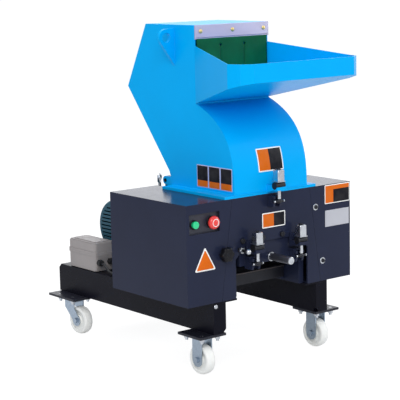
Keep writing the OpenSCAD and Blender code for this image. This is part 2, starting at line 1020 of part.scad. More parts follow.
// A star knob with round lobes, screwed through the seam
knob_in = 203;
knob_x = -knob_in;
knob_down = 170;
knob_z = box_top - knob_down;
knob_screw_r = 5;
knob_t = 22;
knob_gap = 6;
knob_lobes = 6;
knob_lobe_share = 0.3;
knob_hub_r = 12;
module star_knob() {
  lobe_r = knob_r * knob_lobe_share;
  color("#141418") placed() {
    translate([knob_x, -knob_gap, knob_z])
      rotate([90, 0, 0]) {
        cylinder(r = knob_r - lobe_r, h = knob_t);
        for (i = [0 : knob_lobes - 1])
          rotate([0, 0, i * 360 / knob_lobes])
            translate([knob_r - lobe_r, 0, 0])
              cylinder(r = lobe_r, h = knob_t);
      }
    bar_y(knob_hub_r, -knob_gap - over, -seat, knob_x, knob_z);
    bar_y(knob_screw_r, -knob_gap, wall_front, knob_x, knob_z);
  }
}

// The control panel sits behind the window, with the two buttons through it
panel_y = 9;
panel_t = 2;
panel_rim = 4;
start_share = 0.2;
start_x = window_x + window_w * start_share;
stop_share = 0.78;
stop_x = window_x + window_w * stop_share;
button_share = 0.48;
button_z = window_z + window_h * button_share;
button_step = 2;
start_bore_r = start_r - button_step;
stop_step = 9;
stop_stem_r = stop_r - stop_step;
collar_t = 4;
collar_w = 3;
module control_panel() {
  color("#23232c") placed()
    difference() {
      union() {
        span(
          [window_x - panel_rim, panel_y, window_z - panel_rim],
          [window_x + window_w + panel_rim, panel_y + panel_t, window_z + window_h + panel_rim]
        );
        panel_frame();
        bar_y(start_r + collar_w, panel_y - collar_t, panel_y + over, start_x, button_z);
        bar_y(stop_r - collar_w, panel_y - collar_t, panel_y + over, stop_x, button_z);
      }
      bar_y(start_bore_r + run, -over, panel_y + panel_t + over, start_x, button_z);
      bar_y(start_r + seat, -over, panel_y, start_x, button_z);
      bar_y(stop_stem_r + run, -over, panel_y + panel_t + over, stop_x, button_z);
    }
}

module panel_frame() {
  difference() {
    span(
      [window_x - panel_rim, guard_t, window_z - panel_rim],
      [window_x + window_w + panel_rim, panel_y + panel_t, window_z + window_h + panel_rim]
    );
    span(
      [window_x - seat, -over, window_z - seat],
      [window_x + window_w + seat, panel_y, window_z + window_h + seat]
    );
  }
}

start_travel = 4;
start_stand = 6;
button_tail = 22;
module start_button() {
  color("#18d890") placed() {
    bar_y(start_r, -start_stand, panel_y - start_travel - seat, start_x, button_z);
    bar_y(start_bore_r, 0, panel_y + button_tail, start_x, button_z);
  }
}

stop_travel = 5;
stop_head_h = 16;
stop_neck = 6;
module stop_button() {
  head_back = panel_y - collar_t - stop_neck;
  color("#e03030") placed() {
    translate([stop_x, head_back, button_z])
      rotate([90, 0, 0])
        rotate_extrude()
          polygon([
            [0, 0], [stop_r, 0], [stop_r, stop_head_h * 0.45],
            [stop_r * 0.88, stop_head_h * 0.8], [stop_r * 0.6, stop_head_h], [0, stop_head_h],
          ]);
    bar_y(stop_stem_r, head_back - over, panel_y + button_tail, stop_x, button_z);
  }
}

// Hopper
// The curved front is one cubic arc from the flange to the mouth's sill
function arc_point(t, a, b, c, d) =
  a * pow(1 - t, 3) + 3 * b * t * pow(1 - t, 2) + 3 * c * t * t * (1 - t) + d * pow(t, 3);
function arc_slope(t, a, b, c, d) =
  3 * (b - a) * pow(1 - t, 2) + 6 * (c - b) * t * (1 - t) + 3 * (d - c) * t * t;
sill_z = hopper_z + mouth_sill_h;
curve_foot_share = 0.07;
curve_rise_share = 0.58;
curve_reach_share = 0.31;
curve_high_share = 0.83;
curve_z = [for (s = [curve_foot_share, curve_rise_share, curve_high_share, 1]) hopper_z + mouth_sill_h * s];
curve_y = [0, 0, mouth_y * curve_reach_share, mouth_y];
curve_steps = 14;
function curve_at(t, inset) =
  let (
    y = arc_point(t, curve_y[0], curve_y[1], curve_y[2], curve_y[3]),
    z = arc_point(t, curve_z[0], curve_z[1], curve_z[2], curve_z[3]),
    dy = arc_slope(t, curve_y[0], curve_y[1], curve_y[2], curve_y[3]),
    dz = arc_slope(t, curve_z[0], curve_z[1], curve_z[2], curve_z[3]),
    len = norm([dy, dz])
  ) [y + inset * dz / len, z - inset * dy / len];
function front_curve(inset) = [for (i = [0 : curve_steps]) curve_at(i / curve_steps, inset)];

belly_z = hopper_z + belly_h;
knee_z = hopper_z + knee_h;
back_slant = shell_t * 1.27;
hopper_side = concat(
  [[0, hopper_z - over / 2]],
  front_curve(0),
  [
    [mouth_y, hopper_top], [roof_back_y, hopper_top], [belly_y, belly_z], [knee_y, knee_z],
    [heel_y, hopper_z - over / 2],
  ]
);
hopper_hollow = concat(
  [[shell_t, flange_z - over]],
  front_curve(shell_t),
  [
    [mouth_y - over, sill_z - shell_t], [mouth_y - over, hopper_top - bar_h],
    [mouth_y + shell_t, hopper_top - bar_h],
    [mouth_y + shell_t, hopper_top - shell_t],
    [roof_back_y - shell_t / 2, hopper_top - shell_t], [belly_y - back_slant, belly_z],
    [knee_y - back_slant, knee_z], [heel_y - shell_t, flange_z - over],
  ]
);
shell_in = wall_out - shell_t;
flange_out = wall_out + flange_lip;
flange_back_lip = 8;
flange_back = heel_y + flange_back_lip;

module hopper_shell() {
  color("#00a0e8") placed()
    difference() {
      union() {
        difference() {
          union() {
            side_slab(hopper_side, -wall_out, wall_out);
            span([-flange_out, seat, flange_z], [flange_out, flange_back, hopper_z]);
          }
          side_slab(hopper_hollow, -shell_in, shell_in);
        }
        both_sides() {
          lifting_lug();
          hinge_arm();
        }
        clamp_ear(0, upper_pivot_z, ear_root_y);
      }
      for (side = [-1, 1]) {
        bar_y(lug_hole_r, lug_y - over, lug_y + lug_t + over, side * lug_hole_x, lug_hole_z);
        bar_x(hinge_pin_r + run, side * arm_x - arm_t, side * arm_x + arm_t, hinge_y, hinge_z);
      }
      ear_cut(0, upper_pivot_z);
    }
}
ear_root_y = 3;

// A teardrop plate that stands out from the side wall
lug_y = 290;
lug_out = 33;
lug_hole_x = wall_out + lug_out;
lug_hole_down = 41;
lug_hole_z = hopper_top - lug_hole_down;
lug_rim = 12;
lug_tall = 125;
lug_top_down = 10;
module lifting_lug() {
  front_slab(
    [
      [wall_out - shell_t / 2, hopper_top - lug_top_down],
      [lug_hole_x, lug_hole_z + lug_hole_r + lug_rim],
      [lug_hole_x + lug_hole_r + lug_rim, lug_hole_z],
      [lug_hole_x + lug_hole_r + lug_rim / 2, lug_hole_z - lug_hole_r],
      [wall_out - shell_t / 2, hopper_top - lug_top_down - lug_tall],
    ],
    lug_y,
    lug_y + lug_t
  );
  bar_y(lug_hole_r + lug_rim, lug_y, lug_y + lug_t, lug_hole_x, lug_hole_z);
}

// Hinge: arms on the hopper, lugs and pins on the rear wall
hinge_back = 28;
hinge_y = chamber_d + hinge_back;
hinge_up = 22;
hinge_z = box_top + hinge_up;
hinge_pin_r = 6;
hinge_eye_r = 14;
arm_t = 7;
arm_x = wall_out - arm_t / 2;
fixed_lug_t = 9;
lug_gap = 2;
fixed_lug_x = wall_out - arm_t - lug_gap - fixed_lug_t / 2;
pin_over = 3;
arm_root = 24;
module hinge_arm() {
  x0 = arm_x - arm_t / 2;
  difference() {
    union() {
      side_slab(
        [
          [heel_y - arm_root, flange_z], [heel_y, flange_z], [hinge_y, hinge_z - hinge_eye_r],
          [hinge_y, hinge_z + hinge_eye_r], [heel_y - arm_root / 2, hinge_z + hinge_eye_r],
        ],
        x0,
        x0 + arm_t
      );
      bar_x(hinge_eye_r, x0, x0 + arm_t, hinge_y, hinge_z);
    }
    side_slab(hopper_hollow, 0, shell_in);
  }
}

module hopper_hinge() {
  color("#1c1c24") placed()
    both_sides() {
      difference() {
        union() {
          span(
            [fixed_lug_x - fixed_lug_t / 2, chamber_d, hinge_foot_z],
            [fixed_lug_x + fixed_lug_t / 2, hinge_y + hinge_eye_r, hinge_z]
          );
          bar_x(
            hinge_eye_r,
            fixed_lug_x - fixed_lug_t / 2,
            fixed_lug_x + fixed_lug_t / 2,
            hinge_y,
            hinge_z
          );
        }
        bar_x(
          hinge_pin_r + run / 2,
          fixed_lug_x - fixed_lug_t,
          fixed_lug_x + fixed_lug_t,
          hinge_y,
          hinge_z
        );
      }
      bar_x(
        hinge_pin_r,
        fixed_lug_x - fixed_lug_t / 2 - pin_over,
        arm_x + arm_t / 2 + pin_over,
        hinge_y,
        hinge_z
      );
    }
}
hinge_foot = 30;
hinge_foot_z = box_top - hinge_foot;

// Feed tray: a plan outline carried up between its sloping floor and its rim
crease_share = 0.58;
crease_y = -lip_reach * crease_share;
bend_share = 0.85;
bend_y = -lip_reach * bend_share;
bend_x_share = 0.72;
bend_half = lip_half + (crease_half - lip_half) * bend_x_share;
lip_top = sill_z + tray_rise + lip_h;
rim_top = lip_top + rim_fall;
function tray_plan(inset) = [
  [-wall_out + inset, mouth_y + inset], [-crease_half + inset, crease_y],
  [-bend_half + inset, bend_y + inset / 2], [-lip_half + inset / 2, -lip_reach + inset],
  [lip_half - inset / 2, -lip_reach + inset], [bend_half - inset, bend_y + inset / 2],
  [crease_half - inset, crease_y], [wall_out - inset, mouth_y + inset],
];
module tray_block(inset, lift, back) {
  intersection() {
    side_slab(
      [
        [back, sill_z + lift], [-lip_reach - over, sill_z + tray_rise + lift],
        [-lip_reach - over, lip_top + lift * 2], [crease_y, lip_top + lift * 2],
        [back, rim_top + lift * 2],
      ],
      -crease_half - over,
      crease_half + over
    );
    linear_extrude(hopper_top + over)
      polygon(tray_plan(inset));
  }
}

module feed_tray() {
  color("#00a0e8") placed()
    difference() {
      tray_block(0, 0, mouth_y);
      tray_block(shell_t, shell_t, mouth_y + over);
    }
}

// The curtain hangs from the bar across the top of the mouth
bar_z_low = hopper_top - bar_h;
bar_gap = 0.2;
bar_y_back = mouth_y - bar_gap;
screw_r = 4;
screw_head_r = 7;
screw_head_h = 4;
screw_share = 0.86;
screw_places = [for (i = [-1, 0, 1]) i * wall_out * screw_share];
module curtain_bar() {
  color("#c3bfd6") placed() {
    bar_x(wire_r, -wall_out + over, wall_out - over, curtain_y, curtain_z);
    difference() {
      union() {
        span([-wall_out, bar_y_back - bar_t, bar_z_low], [wall_out, bar_y_back, hopper_top]);
        both_sides()
          span(
            [wall_out - shell_t, bar_y_back - bar_t, curtain_z - bead_r],
            [wall_out, bar_y_back, bar_z_low + over]
          );
      }
      bar_x(wire_r + run / 2, -wall_out, wall_out, curtain_y, curtain_z);
      for (x = screw_places)
        bar_y(screw_r + loose, mouth_y - bar_t - over, mouth_y + over, x, bar_mid_z);
    }
  }
}
bar_mid_z = hopper_top - bar_h / 2;

module curtain_screws() {
  y0 = bar_y_back - bar_t;
  color("#c89b3c") placed()
    for (x = screw_places) {
      translate([x, y0, bar_mid_z])
        rotate([90, 0, 0])
          cylinder(r1 = screw_head_r, r2 = screw_r, h = screw_head_h);
      bar_y(screw_r, y0 - over, bar_y_back, x, bar_mid_z);
    }
}

curtain_side_gap = 3;
curtain_half = shell_in - curtain_side_gap;
wire_r = 1.8;
bead_r = 2.4;
curtain_z = bar_z_low - bead_r - seat;
curtain_y = bar_y_back - bar_t / 2;
relief_r = 5;
slit_w = 3;
relief_share = 0.34;
relief_down = 20;
module curtain() {
  y0 = curtain_y - curtain_t / 2;
  relief_z = curtain_z - relief_down;
  color("#006b52") placed()
    difference() {
      union() {
        span([-curtain_half, y0, curtain_z - curtain_len], [curtain_half, y0 + curtain_t, curtain_z]);
        bar_x(bead_r, -curtain_half, curtain_half, curtain_y, curtain_z);
      }
      bar_x(wire_r + run, -curtain_half - over, curtain_half + over, curtain_y, curtain_z);
      for (side = [-1, 1]) {
        x = side * curtain_half * relief_share;
        bar_y(relief_r, y0 - over, y0 + curtain_t + over, x, relief_z);
        span(
          [x - slit_w / 2, y0 - over, curtain_z - curtain_len - over],
          [x + slit_w / 2, y0 + curtain_t + over, relief_z]
        );
      }
    }
}

// Clamps: a rod hangs by its trunnion in an ear, and its cross pin swings under two hooks
rod_r = rod_d / 2;
ear_t = 11;
ear_top = -4;
ear_half = 20;
ear_front = 15;
ear_slot = 13;
ear_web_t = 6;
pin_r = 4;
pin_half = 22;
foot_r = 8;
thread_over = 4;
hook_t = 8;
hook_in = 9.5;
hook_depth = 5;
hook_above = 16;
hook_below = 20;
hook_slot = 4.8;
hook_slot_back = 13.5;
upper_pivot_up = 29;
upper_pivot_z = box_top + upper_pivot_up;
lower_pivot_down = 9;
clamp_y = -clamp_reach;
low_pivot_z = opening_z - lower_pivot_down;

// An ear plate in front of the face at y = root, with two side webs down to it
module clamp_ear(x, z, root) {
  span([x - ear_half, clamp_y - ear_front, z - ear_t + ear_top], [x + ear_half, root, z + ear_top]);
  for (side = [-1, 1])
    translate([x + side * (ear_half - ear_web_t / 2), 0, 0])
      side_slab(
        [
          [clamp_y, z - ear_t + ear_top + over], [-over, z - ear_web_drop],
          [root, z - ear_web_drop], [root, z], [clamp_y, z],
        ],
        -ear_web_t / 2,
        ear_web_t / 2
      );
}
ear_web_drop = 24;

// The trough for the trunnion and the slot for the rod
module ear_cut(x, z) {
  bar_x(trunnion_r + run, x - ear_half - over, x + ear_half + over, clamp_y, z);
  span(
    [x - rod_r - over, clamp_y - ear_slot, z - 2 * ear_t],
    [x + rod_r + over, clamp_y + ear_slot, z + ear_t]
  );
}

// A pair of hook plates around the place x, open to the front at the cross pin's height
module hook_pair(x, z, root) {
  front = clamp_y + hook_depth;
  for (side = [-1, 1]) {
    x0 = x + side * (hook_in + hook_t / 2) - hook_t / 2;
    difference() {
      side_slab(
        [
          [root, z - hook_below], [front + hook_depth, z - hook_below], [front, z - hook_depth],
          [front, z + hook_above], [root, z + hook_above],
        ],
        x0,
        x0 + hook_t
      );
      span(
        [x0 - over, front - over, z - hook_slot],
        [x0 + hook_t + over, front + hook_slot_back, z + hook_slot + hook_lift]
      );
    }
  }
}
hook_lift = 1.5;

bracket_t = 8;
bracket_top = 20;
module clamp_brackets() {
  color("#1c1c24") placed() {
    hook_pair(0, upper_pivot_z - clamp_drop, 0);
    for (side = [-1, 1])
      difference() {
        union() {
          clamp_ear(side * clamp_x, low_pivot_z, 0);
          span(
            [side * clamp_x - ear_half, -bracket_t, low_pivot_z - ear_t + ear_top],
            [side * clamp_x + ear_half, 0, low_pivot_z + bracket_top]
          );
        }
        ear_cut(side * clamp_x, low_pivot_z);
      }
  }
}

module clamp_rod(x, z) {
  color("#b9bcc4") placed() {
    bar_z(rod_r, z - clamp_drop, z + trunnion_r + nut_h + thread_over, x, clamp_y);
    bar_x(trunnion_r, x - ear_half + over, x + ear_half - over, clamp_y, z);
    bar_x(pin_r, x - pin_half, x + pin_half, clamp_y, z - clamp_drop);
    translate([x, clamp_y, z - clamp_drop])
      sphere(r = foot_r);
  }
}

module clamp_nut(x, z) {
  base = z + trunnion_r + seat;
  color("#d4d6da") placed()
    difference() {
      span(
        [x - nut_w / 2, clamp_y - nut_w / 2, base],
        [x + nut_w / 2, clamp_y + nut_w / 2, base + nut_h]
      );
      bar_z(rod_r + run, base - over, base + nut_h + over, x, clamp_y);
    }
}

module upper_clamp_rod() {
  clamp_rod(0, upper_pivot_z);
}

module left_clamp_rod() {
  clamp_rod(-clamp_x, low_pivot_z);
}

module right_clamp_rod() {
  clamp_rod(clamp_x, low_pivot_z);
}

module upper_clamp_nut() {
  clamp_nut(0, upper_pivot_z);
}

module left_clamp_nut() {
  clamp_nut(-clamp_x, low_pivot_z);
}

module right_clamp_nut() {
  clamp_nut(clamp_x, low_pivot_z);
}

// Screen cradle
rib_in = screen_r + screen_t + seat;
rib_out = rib_in + rib_depth;
rib_side_gap = 2;
rib_half = wall_in - rib_side_gap;
cradle_front_gap = 1;
plate_y = front_plate_t + cradle_front_gap;
plate_back = plate_y + cradle_plate_t;
plate_half = rib_half;
plate_up = 99;
plate_z = box_z + plate_up;
plate_top = opening_z - rib_side_gap;
shelf_t = 6;
shelf_z = low_pivot_z - clamp_drop + hook_above;
rib_places = [for (i = [0 : cradle_ribs - 1]) rib_half * (2 * i / (cradle_ribs - 1) - 1)];
handle_up = 114;
handle_z = box_z + handle_up;
handle_r = handle_d / 2;

// A fan-shaped cut below the rotor axis, out to a radius past the ribs
module lower_sector(half_angle, x0, x1) {
  reach = 2 * rib_out;
  side_slab(
    [
      [rotor_y, rotor_z],
      [rotor_y - reach * sin(half_angle), rotor_z - reach * cos(half_angle)],
      [rotor_y - reach, rotor_z - 2 * reach], [rotor_y + reach, rotor_z - 2 * reach],
      [rotor_y + reach * sin(half_angle), rotor_z - reach * cos(half_angle)],
    ],
    x0,
    x1
  );
}

module cradle_rib(x) {
  x0 = x - rib_t / 2 - rib_t / 2 * sign(x) * (abs(x) >= rib_half ? 1 : 0);
  x1 = x0 + rib_t;
  top = rotor_z - rib_in * cos(screen_angle);
  side = rib_in * sin(screen_angle);
  difference() {
    union() {
      intersection() {
        bar_x(rib_out, x0, x1, rotor_y, rotor_z);
        lower_sector(screen_angle, x0 - over, x1 + over);
      }
      side_slab(
        [
          [plate_back - over, plate_z + shelf_t],
          [rotor_y - side + rib_depth, top - rib_depth * 3], [rotor_y - side, top],
          [plate_back - over, top],
        ],
        x0,
        x1
      );
      side_slab(
        [
          [rotor_y + side - rib_depth, top - rib_depth * 3],
          [cradle_pin_y, cradle_pin_z - cradle_lug_r],
          [cradle_pin_y, cradle_pin_z + cradle_lug_r], [rotor_y + side, top],
        ],
        x0,
        x1
      );
      bar_x(cradle_lug_r, x0, x1, cradle_pin_y, cradle_pin_z);
    }
    bar_x(rib_in, x0 - over, x1 + over, rotor_y, rotor_z);
    bar_x(cradle_pin_r + run, x0 - over, x1 + over, cradle_pin_y, cradle_pin_z);
  }
}

module cradle_frame() {
  color("#3a3d4c") placed() {
    difference() {
      union() {
        span([-plate_half, plate_y, plate_z], [plate_half, plate_back, plate_top]);
        for (x = rib_places)
          cradle_rib(x);
        for (side = [-1, 1]) {
          x = side * clamp_x;
          hook_pair(x, low_pivot_z - clamp_drop, plate_y + over);
          span(
            [x - ear_half, clamp_y + hook_slot_back + over, shelf_z],
            [x + ear_half, plate_y + over, shelf_z + shelf_t]
          );
        }
      }
      bar_y(handle_screw_r + run, plate_y - over, plate_back + over, 0, handle_z);
    }
  }
}

// Rows of round holes, set around the screen and staggered from row to row
hole_pitch_x = 2 * rib_half / (hole_columns + 1);
row_angle = 2 * screen_angle / (hole_rows + 1);
module screen() {
  color("#b4b7bc") placed()
    difference() {
      intersection() {
        bar_x(screen_r + screen_t, -rib_half, rib_half, rotor_y, rotor_z);
        lower_sector(screen_angle - over, -rib_half - over, rib_half + over);
      }
      bar_x(screen_r, -rib_half - over, rib_half + over, rotor_y, rotor_z);
      for (row = [1 : hole_rows], column = [1 : hole_columns]) {
        shift = row % 2 == 0 ? 0 : hole_pitch_x / 4;
        x = -rib_half + hole_pitch_x * column + shift - hole_pitch_x / 8;
        translate([x, rotor_y, rotor_z])
          rotate([180 + row * row_angle - screen_angle, 0, 0])
            translate([0, 0, screen_r - screen_t])
              cylinder(r = hole_d / 2, h = 3 * screen_t);
      }
    }
}

handle_screw_r = 6;
handle_screw_in = 10;
handle_collar_r = 15;
handle_collar_t = 5;
module cradle_handle() {
  color("#8f9196") placed() {
    bar_y(handle_r, plate_y - seat - handle_len, plate_y - seat, 0, handle_z);
    bar_y(handle_collar_r, plate_y - seat - handle_collar_t, plate_y - seat, 0, handle_z);
    bar_y(handle_screw_r, plate_y - over, plate_y + handle_screw_in, 0, handle_z);
  }
}

// Granule tray on the two rails
tray_side_gap = 2.5;
tray_half = wall_in - tray_side_gap;
tray_z = rail_z + rail_t + seat;
tray_lip = 9;
module granule_tray() {
  y1 = tray_y + tray_len;
  color("#1f2028") placed() {
    difference() {
      span([-tray_half, tray_y, tray_z], [tray_half, y1, tray_z + tray_h]);
      span(
        [-tray_half + tray_wall, tray_y + tray_wall, tray_z + tray_wall],
        [tray_half - tray_wall, y1 - tray_wall, tray_z + tray_h + over]
      );
    }
    span(
      [-tray_half, tray_y - tray_lip, tray_z + tray_h - tray_wall],
      [tray_half, tray_y + tray_wall, tray_z + tray_h]
    );
  }
}

// Motor
frame_half = 105;
fin_h = 14;
barrel_r = motor_r - fin_h;
fin_t = 3;
fin_count = 32;
fin_first = 3;
shield_r = 97;
shield_t = 16;
foot_z = motor_z - motor_centre_h;
foot_t = 12;
foot_half_x = 70;
foot_len_x = 44;
foot_half_y = 95;
foot_pad = 22;
foot_bolt_r = 6;
motor_shaft_r = 14;
motor_left = motor_x - frame_half;
motor_right = motor_x + frame_half;
eye_ring_r = 19;
eye_wire_r = 4.5;
eye_boss_r = 14;
eye_boss_h = 8;
eye_stem_r = 6;
eye_stem_h = 19;
eye_collar_r = 12;
eye_boss_z = motor_z + motor_r + eye_boss_h;
eye_z = eye_boss_z + eye_stem_h + eye_ring_r;

module motor_frame() {
  color("#2f6f80") placed() {
    difference() {
      union() {
        bar_x(barrel_r, motor_left, motor_right, motor_y, motor_z);
        for (i = [0 : fin_count - 1])
          motor_fin(i);
        bar_x(shield_r, motor_right - 2 * over, motor_right + shield_t, motor_y, motor_z);
        bar_x(shield_r, motor_left - shield_t, motor_left + 2 * over, motor_y, motor_z);
        for (i = [-1, 1], j = [-1, 1])
          motor_foot(motor_x + i * foot_half_x, j);
        bar_z(eye_boss_r, motor_z, eye_boss_z, motor_x, motor_y);
      }
      bar_x(motor_shaft_r + run, motor_left - 2 * shield_t, motor_right + 2 * shield_t, motor_y, motor_z);
      bar_z(eye_stem_r + loose, eye_boss_z - 2 * eye_stem_r, eye_boss_z + over, motor_x, motor_y);
      for (i = [-1, 1], j = [-1, 1])
        bar_z(
          foot_bolt_r,
          foot_z - over,
          foot_z + foot_t + over,
          motor_x + i * foot_half_x,
          motor_y + j * foot_half_y
        );
    }
  }
}

// A lifting eye: ring, stem and collar, screwed into the boss on the motor
module lifting_eye() {
  color("#a9b3bd") placed() {
    translate([motor_x, motor_y, eye_z])
      rotate([90, 0, eye_turn])
        rotate_extrude()
          translate([eye_ring_r - eye_wire_r, 0])
            circle(r = eye_wire_r, $fn = 24);
    bar_z(eye_stem_r, eye_boss_z - eye_stem_r, eye_z - eye_ring_r + eye_wire_r, motor_x, motor_y);
    bar_z(eye_collar_r, eye_boss_z + seat, eye_boss_z + eye_wire_r, motor_x, motor_y);
  }
}
eye_turn = 35;

// Fins are left off where the feet and the eye's boss are
module motor_fin(i) {
  angle = i * 360 / fin_count;
  translate([0, motor_y, motor_z])
    rotate([angle, 0, 0])
      span([motor_left, -fin_t / 2, barrel_r - over], [motor_right, fin_t / 2, motor_r]);
}

module motor_foot(x, side) {
  span(
    [x - foot_len_x / 2, motor_y + side * foot_half_y - foot_pad, foot_z],
    [x + foot_len_x / 2, motor_y + side * foot_half_y + foot_pad, foot_z + foot_t]
  );
  span(
    [x - foot_len_x / 4, motor_y + side * barrel_r * 0.75 - foot_pad / 2, foot_z],
    [x + foot_len_x / 4, motor_y + side * barrel_r * 0.75 + foot_pad / 2, motor_z - barrel_r / 3]
  );
}

// Fan cover: a thin cup with a rounded rim and level slots in its face
cover_len = 86;
cover_t = 2.5;
cover_round = 12;
slot_h = 5;
slot_pitch = 13;
slot_count = 11;
slot_reach_share = 0.8;
cover_x = motor_left - shield_t - seat;
cover_face = cover_x - cover_len;
module cover_cup(r, len) {
  rotate_extrude()
    union() {
      square([r - cover_round, len]);
      square([r, len - cover_round]);
      translate([r - cover_round, len - cover_round])
        circle(r = cover_round);
    }
}

module fan_cover() {
  color("#1f5560") placed()
    difference() {
      translate([cover_x, motor_y, motor_z])
        rotate([0, -90, 0])
          cover_cup(fan_cover_r, cover_len);
      translate([cover_x + over, motor_y, motor_z])
        rotate([0, -90, 0])
          cover_cup(fan_cover_r - cover_t, cover_len - cover_t + over);
      for (i = [0 : slot_count - 1]) {
        dz = (i - (slot_count - 1) / 2) * slot_pitch;
        reach = sqrt(pow(fan_cover_r * slot_reach_share, 2) - dz * dz);
        span(
          [cover_face - over, motor_y - reach, motor_z + dz - slot_h / 2],
          [cover_face + cover_t + over, motor_y + reach, motor_z + dz + slot_h / 2]
        );
      }
    }
}

// Terminal box on the side of the motor that faces the chamber
terminal_w = 110;
terminal_h = 84;
terminal_d = 46;
terminal_lid = 8;
terminal_up = 10;
module terminal_box() {
  y1 = motor_y - motor_r + fin_h / 2;
  z0 = motor_z - terminal_h / 2 + terminal_up;
  color("#2f6f80") placed()
    difference() {
      union() {
        span(
          [motor_x - terminal_w / 2, y1 - terminal_d, z0],
          [motor_x + terminal_w / 2, y1, z0 + terminal_h]
        );
        span(
          [motor_x - terminal_w / 2 - terminal_rim, y1 - terminal_d - terminal_lid, z0 - terminal_rim],
          [motor_x + terminal_w / 2 + terminal_rim, y1 - terminal_d, z0 + terminal_h + terminal_rim]
        );
      }
      bar_x(motor_r + seat, motor_left, motor_right, motor_y, motor_z);
    }
}
terminal_rim = 2;

// Slide rails under the motor's feet
rail_top_w = 40;
slot_len = 60;
module motor_rails() {
  color("#24242e") placed()
    for (i = [-1, 1]) {
      x = motor_x + i * foot_half_x;
      difference() {
        span(
          [x - rail_top_w / 2, motor_y - foot_half_y - foot_pad - rail_over, beam_top],
          [x + rail_top_w / 2, motor_y + foot_half_y + foot_pad + rail_over, foot_z]
        );
        for (j = [-1, 1])
          span(
            [x - foot_bolt_r, motor_y + j * foot_half_y - slot_len / 2, beam_top - over],
            [x + foot_bolt_r, motor_y + j * foot_half_y + slot_len / 2, foot_z + over]
          );
      }
    }
}
rail_over = 12;

motor_tip = pulley_x + pulley_w + shaft_stub / 2;
fan_gap = 12;
fan_hub_x = cover_face + cover_t + fan_gap;
module motor_shaft() {
  color("#a8abb0") placed()
    bar_x(motor_shaft_r, fan_hub_x, motor_tip, motor_y, motor_z);
}

module motor_pulley() {
  color("#4b4f57") placed()
    translate([pulley_x, motor_y, motor_z])
      pulley(motor_pulley_r, motor_shaft_r + run);
}

// Fan: a hub with straight blades
fan_blades = 7;
fan_r = 80;
fan_hub_r = 26;
fan_w = 46;
fan_blade_t = 4;
module motor_fan() {
  color("#20242c") placed()
    difference() {
      translate([fan_hub_x, motor_y, motor_z])
        rotate([0, 90, 0]) {
          cylinder(r = fan_hub_r, h = fan_w);
          translate([0, 0, fan_w - fan_blade_t])
            cylinder(r = fan_r, h = fan_blade_t);
          for (i = [0 : fan_blades - 1])
            rotate([0, 0, i * 360 / fan_blades])
              span([fan_hub_r - 2 * over, -fan_blade_t / 2, 0], [fan_r - 2 * over, fan_blade_t / 2, fan_w - over]);
        }
      bar_x(motor_shaft_r + run, fan_hub_x - over, fan_hub_x + fan_w + over, motor_y, motor_z);
    }
}

// Starter box on the left beam
case_inset = 5;
case_x = -beam_out + case_inset;
case_y = 664;
case_lift = 2;
case_z = beam_top + case_lift;
case_wall = 3;
case_crown = 6;
seam_band = 2;
seam_h = 7;
lid_z = case_z + case_base_h;
gland_pitch = 45;
gland_up = 30;
gland_z = case_z + gland_up;
gland_in = 16;
gland_x = case_x + gland_in;
gland_len = 16;
gland_nose = 10;

// A slab with round corners, the box's plan grown by a distance on every side
module case_slab(grow, z, h, r) {
  low = [case_x - grow, case_y - grow, z];
  w = case_w + 2 * grow;
  len = case_len + 2 * grow;
  translate(low) {
    span([r, 0, 0], [w - r, len, h]);
    span([0, r, 0], [w, len - r, h]);
    for (i = [r, w - r], j = [r, len - r])
      bar_z(r, 0, h, i, j);
  }
}

case_inner_r = case_corner - case_wall;
foot_shares = [0.12, 0.76];
foot_size_share = 0.12;
gland_thread_r = 8;
gland_places = [for (i = [0, 1]) gland_x + i * gland_pitch];
module starter_base() {
  color("#9a9596") placed() {
    difference() {
      union() {
        case_slab(0, case_z, case_base_h, case_corner);
        case_slab(seam_band, lid_z - seam_h, seam_h, case_corner);
      }
      case_slab(-case_wall, case_z + case_wall, case_base_h, case_inner_r);
      for (x = gland_places)
        bar_y(gland_thread_r + loose, case_y - over, case_y + case_wall + over, x, gland_z);
    }
    for (share = foot_shares)
      span(
        [case_x + case_w / 4, case_y + case_len * share, beam_top],
        [case_x + case_w / 2, case_y + case_len * (share + foot_size_share), case_z]
      );
  }
}

// The lid's top is crowned in two steps over the walls
module starter_lid() {
  low = lid_z + seat;
  h = case_lid_h - seat;
  color("#a39e9f") placed()
    difference() {
      union() {
        case_slab(0, low, h - case_crown, case_corner);
        case_slab(-case_crown / 2, low, h - case_crown / 2, case_corner);
        case_slab(-case_crown * 2, low, h, case_corner);
        case_slab(seam_band, low, seam_h, case_corner);
      }
      case_slab(-case_wall, lid_z - over, h - case_crown - case_wall, case_inner_r);
    }
}

module starter_glands() {
  color("#17171b") placed()
    for (x = gland_places)
      difference() {
        union() {
          bar_y(gland_r, case_y - gland_len / 2, case_y, x, gland_z, 6);
          bar_y(gland_r - over, case_y - gland_len, case_y - gland_len / 2, x, gland_z);
          bar_y(gland_thread_r, case_y - over, case_y + gland_nose, x, gland_z);
        }
        bar_y(cable_d / 2 + run, case_y - gland_len - over, case_y + gland_nose + over, x, gland_z);
      }
}

